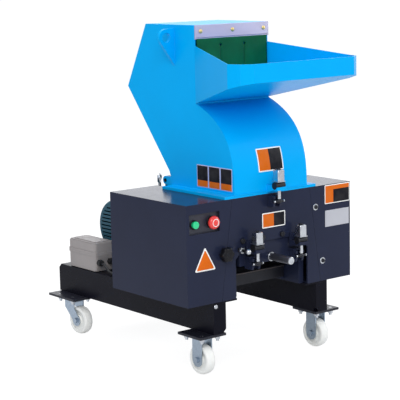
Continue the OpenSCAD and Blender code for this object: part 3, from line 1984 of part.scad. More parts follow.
// Cable routes, hand-picked points: control cable to the left guard, motor cable to the terminal box
cable_x = -226;
cable_hole_z = 256;
control_route = [
  [-224, 672, 268], [-224, 650, 268], [-224, 634, 266], [-225, 620, 258], [-226, 604, 249],
  [-226, 586, 243], [-226, 564, 241], [-226, 452, 243], [-226, 430, 250], [-226, 410, 255],
  [-226, 394, 256], [-227, 374, 255], [-229, 350, 252], [-232, 310, 250], [-232, 92, 251],
  [-232, 70, 256], [-232, 54, 268], [-233, 45, 286], [-235, 41, 310], [-238, 40, 340],
  [-254, 40, 452], [-256, 40, 470],
];
motor_route = [
  [-179, 672, 268], [-179, 652, 268], [-178, 636, 266], [-174, 620, 262], [-164, 604, 259],
  [-146, 590, 258], [-122, 580, 260], [-96, 572, 266], [-72, 564, 276], [-50, 557, 290],
  [-32, 553, 306], [-20, 551, 324], [-14, 550, 346], [-10, 550, 370], [-4, 550, 384],
  [2, 550, 388], [9.9, 550, 388],
];
tube_sides = 8;

function unit(v) = v / norm(v);
function route_dir(route, i) =
  unit(route[min(i + 1, len(route) - 1)] - route[max(i - 1, 0)]);
function ring_points(route, r, i) =
  let (
    d = route_dir(route, i),
    side = unit(cross(d, abs(d[2]) < 0.9 ? [0, 0, 1] : [1, 0, 0])),
    up = cross(side, d)
  )
  [for (k = [0 : tube_sides - 1])
    route[i] + r * (cos(k * 360 / tube_sides) * side + sin(k * 360 / tube_sides) * up)];

module tube(route, r) {
  rings = len(route);
  points = [for (i = [0 : rings - 1]) each ring_points(route, r, i)];
  sides = [
    for (i = [0 : rings - 2], k = [0 : tube_sides - 1])
      let (a = i * tube_sides + k, b = i * tube_sides + (k + 1) % tube_sides)
      each [[a, b, b + tube_sides], [a, b + tube_sides, a + tube_sides]]
  ];
  ends = [
    [for (k = [tube_sides - 1 : -1 : 0]) k],
    [for (k = [0 : tube_sides - 1]) (rings - 1) * tube_sides + k],
  ];
  polyhedron(points = points, faces = concat(sides, ends));
}

module starter_cables() {
  color("#121216") placed() {
    tube(control_route, cable_d / 2);
    tube(motor_route, cable_d / 2);
  }
}

side_beams();
cross_members();
caster_plates();
caster_bolts();
caster_mounts();
rear_left_fork();
rear_right_fork();
front_left_wheel();
front_right_wheel();
rear_left_wheel();
rear_right_wheel();
chamber_walls();
chamber_front();
chamber_rear();
bed_knives();
bed_knife_bolts();
bearing_housings();
rotor_bearings();
rotor_shaft();
rotor_core();
claw_knives();
flywheel();
rotor_pulley();
left_guard();
right_guard();
guard_screws();
star_knob();
control_panel();
start_button();
stop_button();
clamp_brackets();
hopper_hinge();
hopper_shell();
feed_tray();
curtain_bar();
curtain_screws();
curtain();
upper_clamp_rod();
left_clamp_rod();
right_clamp_rod();
upper_clamp_nut();
left_clamp_nut();
right_clamp_nut();
cradle_frame();
screen();
cradle_handle();
granule_tray();
motor_frame();
lifting_eye();
fan_cover();
terminal_box();
motor_rails();
motor_shaft();
motor_pulley();
motor_fan();
drive_belts();
starter_base();
starter_lid();
starter_glands();
starter_cables();
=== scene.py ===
"""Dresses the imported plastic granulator: a finish for every solid, and finer pieces in place of some."""

import json
import logging
import math
from dataclasses import dataclass, field
from enum import Enum
from functools import partial

import bmesh
import bpy
import numpy as np
from mathutils import Matrix, Vector

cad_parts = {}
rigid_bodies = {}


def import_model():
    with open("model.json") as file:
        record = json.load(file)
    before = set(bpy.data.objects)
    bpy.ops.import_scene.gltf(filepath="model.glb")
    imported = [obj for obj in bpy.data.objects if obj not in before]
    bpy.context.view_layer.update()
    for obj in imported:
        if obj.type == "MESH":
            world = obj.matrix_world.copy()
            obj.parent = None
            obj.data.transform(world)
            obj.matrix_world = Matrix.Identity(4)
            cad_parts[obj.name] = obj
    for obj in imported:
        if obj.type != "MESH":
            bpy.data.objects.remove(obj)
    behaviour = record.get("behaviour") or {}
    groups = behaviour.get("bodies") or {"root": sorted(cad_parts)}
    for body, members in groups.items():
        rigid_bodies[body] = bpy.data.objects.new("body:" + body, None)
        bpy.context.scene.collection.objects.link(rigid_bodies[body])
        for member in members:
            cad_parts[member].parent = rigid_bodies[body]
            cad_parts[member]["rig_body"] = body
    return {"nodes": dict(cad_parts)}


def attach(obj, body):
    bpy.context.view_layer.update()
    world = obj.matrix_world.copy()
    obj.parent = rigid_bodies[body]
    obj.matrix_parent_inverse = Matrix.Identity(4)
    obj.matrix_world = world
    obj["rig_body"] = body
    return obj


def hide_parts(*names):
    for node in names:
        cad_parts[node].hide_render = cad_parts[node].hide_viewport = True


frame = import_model()
Socket = bpy.types.NodeSocket

LOG = logging.getLogger("granulator")
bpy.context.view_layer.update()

# How far the front plate's face lies in front of the frame's origin, in millimetres
FRONT_SHIFT = 361.5
MM_IN_METRE = 1000.0
FORWARD = (0.0, -1.0, 0.0)
UPWARD = (0.0, 0.0, 1.0)
SIDEWAYS = (1.0, 0.0, 0.0)
WHITE = (1.0, 1.0, 1.0, 1.0)
# Cosines of the angle between the plain and the rounded normal where edge wear starts and is full
WEAR_STARTS = 0.995
WEAR_FULL = 0.86
BEVEL_SAMPLES = 4
COAT_ROUGHNESS = 0.12
BUMP_STRENGTH = 0.7
# Grains in a metre of the patches of wear, and how many times finer the gloss drifts than the colour
PATCH_SCALE = 60.0
GLOSS_FINENESS = 5.0
SHARP_ANGLE = math.radians(34.0)


class Grain(Enum):
    """What the relief of a finish is made of."""

    PEEL = "the fine dimples of sprayed paint"
    BRUSHED = "long scratches along one direction"
    SPANGLE = "the flat crystals of a zinc coating"
    CAST = "the lumps of a casting"
    MOULDED = "the spark texture of a plastic mould"


def linear(code: str) -> tuple[float, float, float, float]:
    """The linear colour of a written sRGB colour.

    Args:
        code: six hexadecimal digits, with or without a leading mark.

    Returns:
        Red, green, blue and an alpha of 1.
    """
    digits = code.lstrip("#")
    values = np.array([int(digits[i : i + 2], 16) for i in (0, 2, 4)]) / 255.0
    low = values / 12.92
    high = ((values + 0.055) / 1.055) ** 2.4
    return (*np.where(values <= 0.04045, low, high).tolist(), 1.0)


def shade(code: str, share: float) -> tuple[float, float, float, float]:
    """A written colour made lighter or darker by a share, in linear light.

    Args:
        code: the sRGB colour.
        share: 0.1 is a tenth lighter, and -0.1 a tenth darker.

    Returns:
        The linear colour.
    """
    red, green, blue, alpha = linear(code)
    return (*(min(1.0, c * (1.0 + share)) for c in (red, green, blue)), alpha)


class Graph:
    """The node tree of one material, with short ways to add nodes and links."""

    def __init__(self, name: str) -> None:
        """Starts a material that holds a shader and its output.

        Args:
            name: the material's name.
        """
        self.material = bpy.data.materials.new(name)
        self.material.use_nodes = True
        self.tree = self.material.node_tree
        self.tree.nodes.clear()
        output = self.tree.nodes.new("ShaderNodeOutputMaterial")
        self.shader = self.tree.nodes.new("ShaderNodeBsdfPrincipled")
        self.tree.links.new(self.shader.outputs["BSDF"], output.inputs["Surface"])
        self.coords = self.tree.nodes.new("ShaderNodeTexCoord")

    def node(self, kind: str, settings: dict | None = None, **sockets: object) -> bpy.types.Node:
        """Adds a node, sets its properties, and fills or links its sockets.

        Args:
            kind: the node's type without the leading ShaderNode.
            settings: properties of the node itself.
            sockets: input names with a value, or with the output socket to link.

        Returns:
            The new node.
        """
        made = self.tree.nodes.new("ShaderNode" + kind)
        for key, value in (settings or {}).items():
            setattr(made, key, value)
        for key, value in sockets.items():
            self.feed(made.inputs[key], value)
        return made

    def feed(self, socket: Socket, value: object) -> None:
        """Links a socket to another's output, or sets its own value."""
        if isinstance(value, Socket):
            self.tree.links.new(value, socket)
        else:
            socket.default_value = value

    def mix(self, factor: object, first: object, second: object) -> Socket:
        """Mixes two colours and returns the result's socket."""
        made = self.tree.nodes.new("ShaderNodeMix")
        made.data_type = "RGBA"
        self.feed(made.inputs[0], factor)
        self.feed(made.inputs[6], first)
        self.feed(made.inputs[7], second)
        return made.outputs[2]

    def noise(self, scale: float, detail: float = 3.0, stretch: tuple = (1.0, 1.0, 1.0)) -> Socket:
        """Noise on the object's own coordinates, in grains a metre.

        Args:
            scale: grains in a metre.
            detail: how many finer layers it has.
            stretch: how the coordinates are scaled first.

        Returns:
            The noise's value socket.
        """
        place = self.node("Mapping", Vector=self.coords.outputs["Object"], Scale=stretch)
        made = self.node("TexNoise", Vector=place.outputs[0], Scale=scale, Detail=detail)
        return made.outputs["Fac"]

    def spread(self, value: object, low: float, high: float, new_low: float, new_high: float) -> Socket:
        """Maps a value from one range to another, and keeps it inside."""
        made = self.node("MapRange")
        for index, number in enumerate((value, low, high, new_low, new_high)):
            self.feed(made.inputs[index], number)
        return made.outputs[0]

    def sum(self, operation: str, first: object, second: object) -> Socket:
        """One calculation with two numbers."""
        made = self.node("Math", {"operation": operation})
        self.feed(made.inputs[0], first)
        self.feed(made.inputs[1], second)
        return made.outputs[0]

    def edges(self, radius: float) -> tuple[Socket, Socket]:
        """Rounds the normals at sharp edges.

        Args:
            radius: the rounding's radius in metres.

        Returns:
            The rounded normal, and a mask that is 1 on the edges.
        """
        rounded = self.node("Bevel", {"samples": BEVEL_SAMPLES}, Radius=radius).outputs[0]
        plain = self.node("NewGeometry").outputs["Normal"]
        dot = self.node("VectorMath", {"operation": "DOT_PRODUCT"})
        self.feed(dot.inputs[0], rounded)
        self.feed(dot.inputs[1], plain)
        return rounded, self.spread(dot.outputs["Value"], WEAR_STARTS, WEAR_FULL, 0.0, 1.0)


@dataclass(frozen=True)
class Finish:
    """A surface: its colour, gloss and relief, and how it wears."""

    name: str
    colour: str
    roughness: float = 0.4
    metallic: float = 0.0
    coat: float = 0.0
    grain: Grain = Grain.PEEL
    grain_scale: float = 420.0
    relief: float = 0.000008
    drift: float = 0.05
    drift_scale: float = 7.0
    edge: float = 0.0012
    worn: str = ""
    wear: float = 0.0
    direction: tuple[float, float, float] = (1.0, 1.0, 1.0)
    specular: float = 0.5
    gloss_drift: float = 0.15

    def material(self) -> bpy.types.Material:
        """The finish as a material, made once."""
        known = bpy.data.materials.get(self.name)
        return known or self.build().material

    def build(self) -> Graph:
        """Makes the nodes of the finish.

        Returns:
            The graph, so that a special finish can add to it.
        """
        graph = Graph(self.name)
        rounded, mask = graph.edges(self.edge)
        colour = self.body_colour(graph)
        if self.wear > 0:
            patch = graph.spread(graph.noise(PATCH_SCALE, 4.0), 0.42, 0.62, 0.0, self.wear)
            colour = graph.mix(graph.sum("MULTIPLY", mask, patch), colour, linear(self.worn or self.colour))
        graph.feed(graph.shader.inputs["Base Color"], colour)
        duller = self.roughness * (1.0 + self.gloss_drift)
        glossier = self.roughness * (1.0 - self.gloss_drift)
        gloss = graph.spread(graph.noise(self.drift_scale * GLOSS_FINENESS, 4.0), 0.3, 0.7, glossier, duller)
        graph.feed(graph.shader.inputs["Roughness"], gloss)
        for socket, value in (
            ("Metallic", self.metallic), ("Coat Weight", self.coat), ("Coat Roughness", COAT_ROUGHNESS),
            ("Specular IOR Level", self.specular),
        ):
            graph.shader.inputs[socket].default_value = value
        bump = graph.node(
            "Bump", Strength=BUMP_STRENGTH, Distance=self.relief, Height=self.height(graph), Normal=rounded
        )
        graph.feed(graph.shader.inputs["Normal"], bump.outputs[0])
        return graph

    def body_colour(self, graph: Graph) -> Socket:
        """The colour, which drifts a little lighter and darker over the surface."""
        factor = graph.spread(graph.noise(self.drift_scale, 4.0), 0.34, 0.66, 0.0, 1.0)
        plain = graph.mix(factor, shade(self.colour, -self.drift), shade(self.colour, self.drift))
        if self.grain is not Grain.SPANGLE:
            return plain
        cells = graph.node("TexVoronoi", Vector=graph.coords.outputs["Object"], Scale=self.grain_scale)
        tone = graph.node("SeparateColor", Color=cells.outputs["Color"]).outputs[0]
        return graph.mix(graph.spread(tone, 0.0, 1.0, 0.0, 0.28), plain, shade(self.colour, 0.55))

    def height(self, graph: Graph) -> Socket:
        """The height that the relief is made from."""
        if self.grain is Grain.SPANGLE:
            cells = graph.node("TexVoronoi", Vector=graph.coords.outputs["Object"], Scale=self.grain_scale)
            return cells.outputs["Distance"]
        detail = {Grain.PEEL: 1.0, Grain.BRUSHED: 6.0, Grain.CAST: 5.0, Grain.MOULDED: 2.0}[self.grain]
        return graph.noise(self.grain_scale, detail, self.direction)


@dataclass(frozen=True)
class SignFinish(Finish):
    """A plain printed plate: a border, an upper field and a lower field, and no words or pictures."""

    lower: str = "#d2640b"
    border: str = "#f2f2ee"
    split: float = 0.5
    width: float = 0.1
    height_m: float = 0.1
    rim: float = 0.003
    across: bool = False
    band: float = 0.0
    fade: float = 0.03

    def body_colour(self, graph: Graph) -> Socket:
        """The border and the two fields, by the piece's own map in metres."""
        uv = graph.node("UVMap", {"uv_map": "face"}).outputs[0]
        parts = graph.node("SeparateXYZ", Vector=uv)
        u, v = parts.outputs["X"], parts.outputs["Y"]
        ends = [u, graph.sum("SUBTRACT", self.width, u), v, graph.sum("SUBTRACT", self.height_m, v)]
        nearest = [graph.sum("MINIMUM", ends[i], ends[i + 1]) for i in (0, 2)]
        inside = graph.sum("MINIMUM", *nearest)
        full = self.width if self.across else self.height_m
        cut = graph.sum("GREATER_THAN", u if self.across else v, full * self.split)
        if self.band:
            top = graph.sum("LESS_THAN", v, self.height_m * (1.0 - self.band))
            cut = graph.sum("MULTIPLY", cut, top)
        fields = graph.mix(cut, linear(self.lower), linear(self.colour))
        printed = graph.mix(graph.sum("GREATER_THAN", inside, self.rim), linear(self.border), fields)
        fade = graph.spread(graph.noise(30.0, 4.0), 0.35, 0.7, 0.0, self.fade)
        return graph.mix(fade, printed, linear("#d8d4cc"))


@dataclass(frozen=True)
class TreadFinish(Finish):
    """Nylon that is scuffed grey where the wheel has run."""

    scuffing: float = 0.75

    def body_colour(self, graph: Graph) -> Socket:
        """The plain colour with grey scuffs by the piece's tread attribute."""
        plain = Finish.body_colour(self, graph)
        tread = graph.node("Attribute", {"attribute_name": "tread"}).outputs["Fac"]
        scuff = graph.spread(graph.noise(70.0, 6.0), 0.38, 0.7, 0.0, self.scuffing)
        return graph.mix(graph.sum("MULTIPLY", tread, scuff), plain, linear("#8d897f"))


def textured(
    grain: Grain, scale: float, name: str, colour: str, roughness: float, metallic: float = 0.0, **more: object
) -> Finish:
    """A finish whose relief is a grain at a scale.

    Args:
        grain: what the relief is made of.
        scale: grains in a metre.
        name: the material's name.
        colour: its sRGB colour.
        roughness: how dull it is.
        metallic: how far it is a metal.
        more: other values of the finish.

    Returns:
        The finish.
    """
    return Finish(name, colour, roughness, metallic, grain=grain, grain_scale=scale, **more)


brushed = partial(textured, Grain.BRUSHED)
cast = partial(textured, Grain.CAST)
moulded = partial(textured, Grain.MOULDED)

HOPPER_BLUE = Finish(
    "hopper_blue_paint", "#00a6ea", 0.3, drift=0.02, wear=0.3, worn="#7fc9ee", specular=0.05, gloss_drift=0.035
)
CHAMBER_GREY = Finish(
    "chamber_grey_paint", "#22273b", 0.2, wear=0.3, worn="#5c6070", specular=0.12, gloss_drift=0.08
)
BEAM_BLACK = Finish("beam_black_paint", "#0b0b16", 0.3, drift=0.1, wear=0.3, worn="#5a5a64", specular=0.08)
CAST_IRON = cast(220.0, "cast_iron", "#4a4c50", 0.5, 0.85, relief=0.00008)
BRIGHT_STEEL = brushed(900.0, "bright_steel", "#c9ccd0", 0.28, 1.0, relief=0.00003, edge=0.0005)
TOOL_STEEL = brushed(700.0, "tool_steel", "#a4a7ac", 0.3, 1.0, direction=(0.1, 1, 1))
ZINC = textured(Grain.SPANGLE, 260.0, "zinc_plate", "#a3b0bd", 0.36, 0.9, relief=0.00004, edge=0.0007)
DARK_PLATE = Finish("caster_plate_paint", "#1c1d27", 0.36, wear=0.4, worn="#6c6e78", specular=0.3)
BLACK_STEEL = brushed(700.0, "blackened_steel", "#2a2b30", 0.38, 0.6, wear=0.4, worn="#74767c")
BIN_DARK = Finish("bin_paint", "#15161e", 0.42, drift=0.12, wear=0.3, worn="#55565e", specular=0.3)
TRAY_STEEL = brushed(380.0, "tray_steel", "#6d625c", 0.42, 0.7, direction=(0.1, 1, 1), drift=0.14)
STRIP_STEEL = brushed(500.0, "strip_steel", "#c6c2da", 0.34, 0.75, direction=(0.05, 1, 1))
BRASS = brushed(900.0, "brass", "#c69a45", 0.3, 1.0, relief=0.00003, edge=0.0004)
NYLON = TreadFinish("nylon", "#fbfaf6", 0.42, grain=Grain.MOULDED, grain_scale=600.0, drift=0.03, specular=0.4)
KNOB_BLACK = moulded(1200.0, "knob_black", "#0f0f14", 0.38, specular=0.2, relief=0.00005)
CASE_GREY = moulded(900.0, "case_grey", "#958f8d", 0.5, relief=0.00009, drift=0.04)
GLAND_BLACK = moulded(900.0, "gland_black", "#19191c", 0.46)
CABLE_BLACK = moulded(900.0, "cable_black", "#16161a", 0.5, relief=0.00005)
BELT_RUBBER = moulded(500.0, "belt_rubber", "#1a1a1c", 0.75, relief=0.0001)
MOTOR_TEAL = cast(260.0, "motor_teal", "#1d5868", 0.34, specular=0.3, relief=0.00012)
COVER_TEAL = Finish("fan_cover_teal", "#1b4d5e", 0.36, specular=0.25, drift=0.06, wear=0.3, worn="#6fa0ad")
STOP_RED = moulded(900.0, "stop_red", "#e23a36", 0.3, coat=0.3, relief=0.00003)
START_GREEN = moulded(900.0, "start_green", "#19c983", 0.3, coat=0.3, relief=0.00003)
HANDLE_DARK = moulded(700.0, "handle_dark", "#63646c", 0.34, 0.8, drift=0.1)
PANEL_DARK = moulded(900.0, "panel_dark", "#262834", 0.42, relief=0.00006)
SCREEN_STEEL = brushed(500.0, "screen_steel", "#85868a", 0.4, 0.95)
CURTAIN_GREEN = moulded(
    300.0, "curtain_green", "#005a37", 0.6, relief=0.0002, drift=0.14, drift_scale=16.0, specular=0.12
)
SIGN_ORANGE = moulded(500.0, "sign_orange", "#da660c", 0.42, specular=0.12)
SIGN_WHITE = moulded(500.0, "sign_white", "#f1f1ec", 0.42, drift=0.03)
SIGN_SILVER = brushed(600.0, "sign_silver", "#bfc0c6", 0.36, 0.7, direction=(0.05, 1, 1), edge=0.0004)

NODE_FINISHES = {
    HOPPER_BLUE: ["hopper_shell", "feed_tray"],
    CHAMBER_GREY: [
        "chamber_walls", "chamber_front", "chamber_rear", "left_guard", "right_guard", "clamp_brackets",
        "cradle_frame",
    ],
    BEAM_BLACK: ["side_beams", "cross_members", "hopper_hinge"],
    DARK_PLATE: ["caster_plates"],
    ZINC: ["caster_mounts", "rear_left_fork", "rear_right_fork", "motor_rails"],
    BRIGHT_STEEL: [
        "caster_bolts", "upper_clamp_nut", "left_clamp_nut", "right_clamp_nut", "lifting_eye", "motor_shaft",
        "rotor_shaft", "guard_screws",
    ],
    NYLON: ["front_left_wheel", "front_right_wheel", "rear_left_wheel", "rear_right_wheel"],
    CAST_IRON: ["bearing_housings", "rotor_core", "flywheel", "rotor_pulley", "motor_pulley"],
    TOOL_STEEL: ["bed_knives", "claw_knives", "rotor_bearings"],
    SCREEN_STEEL: ["screen"],
    KNOB_BLACK: ["star_knob", "cradle_handle", "motor_fan"],
    PANEL_DARK: ["control_panel"],
    START_GREEN: ["start_button"],
    STOP_RED: ["stop_button"],
    STRIP_STEEL: ["curtain_bar"],
    BRASS: ["curtain_screws"],
    CURTAIN_GREEN: ["curtain"],
    BIN_DARK: ["granule_tray"],
    BLACK_STEEL: ["bed_knife_bolts", "upper_clamp_rod", "left_clamp_rod", "right_clamp_rod"],
    MOTOR_TEAL: ["motor_frame", "terminal_box"],
    COVER_TEAL: ["fan_cover"],
    BELT_RUBBER: ["drive_belts"],
    CASE_GREY: ["starter_base", "starter_lid"],
    GLAND_BLACK: ["starter_glands"],
    CABLE_BLACK: ["starter_cables"],
}


def row(points: np.ndarray) -> np.ndarray:
    """Turns millimetres from the front plate's face into metres in the row frame.

    The formula is (x, y - shift, z) / 1000, where shift is the face's distance before the frame's origin.

    Args:
        points: an array whose last axis holds x, y and z.

    Returns:
        The same array in metres.
    """
    return (np.asarray(points, float) - [0.0, FRONT_SHIFT, 0.0]) / MM_IN_METRE


def linked(name: str, data: bpy.types.ID) -> bpy.types.Object:
    """Makes an object of a mesh, a lamp or a camera, and links it to the scene."""
    made = bpy.data.objects.new(name, data)
    bpy.context.scene.collection.objects.link(made)
    return made


class Piece:
    """A new mesh that rides on one body."""

    def __init__(self, name: str, points: np.ndarray, faces: list, body: str, finish: Finish) -> None:
        """Puts the mesh into the scene.

        Args:
            name: the piece's name.
            points: corners in millimetres from the front plate's face.
            faces: tuples of corner numbers.
            body: the CAD body that it rides on.
            finish: its surface.
        """
        mesh = bpy.data.meshes.new(name)
        mesh.from_pydata(row(points).tolist(), [], faces)
        mesh.polygons.foreach_set("use_smooth", np.ones(len(mesh.polygons), bool))
        mesh.update()
        mesh.set_sharp_from_angle(angle=SHARP_ANGLE)
        self.object = linked(name, mesh)
        mesh.materials.append(finish.material())
        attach(self.object, body)
        LOG.info("%s: %d faces on %s", name, len(faces), body)

    def instead_of(self, *nodes: str) -> "Piece":
        """Hides the CAD nodes that the piece stands for."""
        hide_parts(*nodes)
        return self

    def attribute(self, name: str, values: np.ndarray) -> "Piece":
        """Gives every corner a number that a finish can read."""
        made = self.object.data.attributes.new(name, "FLOAT", "POINT")
        made.data.foreach_set("value", np.asarray(values, np.float32))
        return self

    def flat_map(self, places: np.ndarray) -> "Piece":
        """Stores each corner's place on the plate's face, in metres, as the map named face."""
        mesh = self.object.data
        layer = mesh.uv_layers.new(name="face")
        corner = np.zeros(len(mesh.loops), np.int32)
        mesh.loops.foreach_get("vertex_index", corner)
        layer.data.foreach_set("uv", np.asarray(places, np.float32)[corner].ravel())
        return self


def skin(rings: np.ndarray, loop: bool = False) -> tuple[np.ndarray, list]:
    """Stretches a closed surface over a row of rings.

    Corner (i, j) joins (i, j + 1), (i + 1, j + 1) and (i + 1, j), with j taken round. Each open end is closed
    by a fan to the mean of its ring, or the last ring joins the first. The faces are turned outwards by the
    sign of the volume, a sixth of the sum of a . (b x c) over the triangles.

    Args:
        rings: an array of rings, corners and coordinates.
        loop: True where the last ring joins the first.

    Returns:
        The corners and the faces.
    """
    count, sides = rings.shape[:2]
    index = np.arange(count * sides).reshape(count, sides)
    first = index if loop else index[:-1]
    after = np.roll(index, -1, axis=0) if loop else index[1:]
    quads = np.stack([first, np.roll(first, -1, 1), np.roll(after, -1, 1), after], -1).reshape(-1, 4)
    points = rings.reshape(-1, 3)
    fans = np.zeros((0, 3), int)
    if not loop:
        points = np.vstack([points, rings[[0, -1]].mean(axis=1)])
        low, high = index[0], index[-1]
        start, end = np.full(sides, count * sides), np.full(sides, count * sides + 1)
        fans = np.vstack([
            np.stack([start, np.roll(low, -1), low], -1),
            np.stack([end, high, np.roll(high, -1)], -1),
        ])
    corners = np.vstack([quads[:, :3], quads[:, [0, 2, 3]], fans])
    middle = points - points.mean(axis=0)
    a, b, c = (middle[corners[:, k]] for k in range(3))
    if np.einsum("ij,ij->i", a, np.cross(b, c)).sum() < 0:
        quads, fans = quads[:, ::-1], fans[:, ::-1]
    return points, quads.tolist() + fans.tolist()


def frame_of(direction: np.ndarray) -> tuple[np.ndarray, np.ndarray, np.ndarray]:
    """Three unit vectors at right angles, of which the last points along a direction."""
    along = np.asarray(direction, float) / np.linalg.norm(direction)
    helper = np.array([0.0, 0.0, 1.0]) if abs(along[2]) < 0.9 else np.array([1.0, 0.0, 0.0])
    side = np.cross(helper, along)
    side /= np.linalg.norm(side)
    return side, np.cross(along, side), along


def turned(
    profile: list, centre: tuple, axis: tuple, sides: int = 48, lobes: int = 0, swell: np.ndarray | float = 0.0
) -> np.ndarray:
    """Rings of a turned shape.

    A point of the profile at height h and radius r gives the ring centre + h * axis + r * (side * cos a +
    up * sin a), with a from 0 to a full turn. With lobes, r is multiplied by 1 + swell * cos(lobes * a).

    Args:
        profile: pairs of height along the axis and radius.
        centre: where height 0 lies, in millimetres.
        axis: the direction of the heights.
        sides: corners round a ring.
        lobes: how many lobes go round.
        swell: how far the lobes reach, as one share or as a column with a share for each ring.

    Returns:
        The rings.
    """
    side, up, along = frame_of(np.array(axis))
    heights, radii = np.array(profile, float).T
    angle = np.linspace(0.0, 2.0 * np.pi, sides, endpoint=False)
    reach = radii[:, None] * (1.0 + swell * np.cos(lobes * angle))
    round_part = side * np.cos(angle)[:, None] + up * np.sin(angle)[:, None]
    return np.array(centre, float) + heights[:, None, None] * along + reach[..., None] * round_part[None]


def smooth_path(points: list, steps: int = 5) -> np.ndarray:
    """A Catmull-Rom curve through the points.

    Between b and c, with a before and d after, the curve at t is half of
    2b + (c - a)t + (2a - 5b + 4c - d)t^2 + (3b - a - 3c + d)t^3.

    Args:
        points: the points of the route.
        steps: new points for each stretch.

    Returns:
        The points of the curve.
    """
    p = np.array(points, float)
    p = np.vstack([2 * p[0] - p[1], p, 2 * p[-1] - p[-2]])
    t = np.linspace(0.0, 1.0, steps, endpoint=False)[None, :, None]
    a, b, c, d = (p[i : len(p) - 3 + i, None, :] for i in range(4))
    curve = 0.5 * (2 * b + (c - a) * t + (2 * a - 5 * b + 4 * c - d) * t**2 + (3 * b - a - 3 * c + d) * t**3)
    return np.vstack([curve.reshape(-1, 3), p[-2]])


def tube(path: np.ndarray, radius: float, sides: int = 16) -> np.ndarray:
    """Rings of a round tube along a path.

    The ring at a point is the point + radius * (side * cos a + up * sin a), where side and up are at right
    angles to the path there.

    Args:
        path: the points of the centre line.
        radius: the tube's radius.
        sides: corners round a ring.

    Returns:
        The rings.
    """
    along = np.gradient(path, axis=0)
    along /= np.linalg.norm(along, axis=1, keepdims=True)
    helper = np.where(np.abs(along[:, 2:3]) < 0.92, [[0.0, 0.0, 1.0]], [[1.0, 0.0, 0.0]])
    side = np.cross(helper, along)
    side /= np.linalg.norm(side, axis=1, keepdims=True)
    up = np.cross(along, side)
    angle = np.linspace(0.0, 2.0 * np.pi, sides, endpoint=False)[None, :, None]
    return path[:, None, :] + radius * (side[:, None] * np.cos(angle) + up[:, None] * np.sin(angle))


def evenly(outline: np.ndarray, pitch: float) -> np.ndarray:
    """Adds points to a closed outline, so that none lie further apart than the pitch.

    The new points lie on the straight lines between the old ones, at equal steps of the length along them.

    Args:
        outline: the points, as an array of pairs.
        pitch: the greatest distance.

    Returns:
        The old and the new points in order.
    """
    closed = np.vstack([outline, outline[:1]])
    length = np.concatenate([[0.0], np.cumsum(np.linalg.norm(np.diff(closed, axis=0), axis=1))])
    marks = np.unique(np.concatenate([length[:-1], np.arange(0.0, length[-1], pitch)]).round(4))
    return np.stack([np.interp(marks, length, closed[:, k]) for k in range(2)], -1)


def rounded_outline(corners: np.ndarray, radius: float, steps: int = 6) -> np.ndarray:
    """A polygon with rounded corners.

    Each corner p is replaced by the curve (1 - t)^2 (p + back) + 2t(1 - t) p + t^2 (p + on), where back and on
    are steps of the radius towards the corners before and after.

    Args:
        corners: the polygon's corners, as an array of pairs.
        radius: how far from a corner the rounding starts.
        steps: points on each rounding.

    Returns:
        The points of the outline.
    """
    p = np.array(corners, float)
    back, on = np.roll(p, 1, 0) - p, np.roll(p, -1, 0) - p
    back *= radius / np.linalg.norm(back, axis=1, keepdims=True)
    on *= radius / np.linalg.norm(on, axis=1, keepdims=True)
    t = np.linspace(0.0, 1.0, steps)[None, :, None]
    start, end = (p + back)[:, None], (p + on)[:, None]
    return ((1 - t) ** 2 * start + 2 * t * (1 - t) * p[:, None] + t**2 * end).reshape(-1, 2)


def solid(name: str, rings: np.ndarray, body: str, finish: Finish, *nodes: str, loop: bool = False) -> Piece:
    """Adds one closed piece, and hides the nodes that it stands for.

    Args:
        name: the piece's name.
        rings: the rings that its skin is stretched over, in millimetres.
        body: the CAD body that it rides on.
        finish: its surface.
        nodes: the CAD nodes that it stands for.
        loop: True where the last ring joins the first.

    Returns:
        The piece.
    """
    piece = Piece(name, *skin(rings, loop), body, finish)
    return piece.instead_of(*nodes) if nodes else piece


def dress_solids() -> None:
    """Gives every CAD node its finish."""
    for finish, names in NODE_FINISHES.items():
        for name in names:
            mesh = frame["nodes"][name].data
            mesh.materials.clear()
            mesh.materials.append(finish.material())
            LOG.info("%s: %s", name, finish.name)


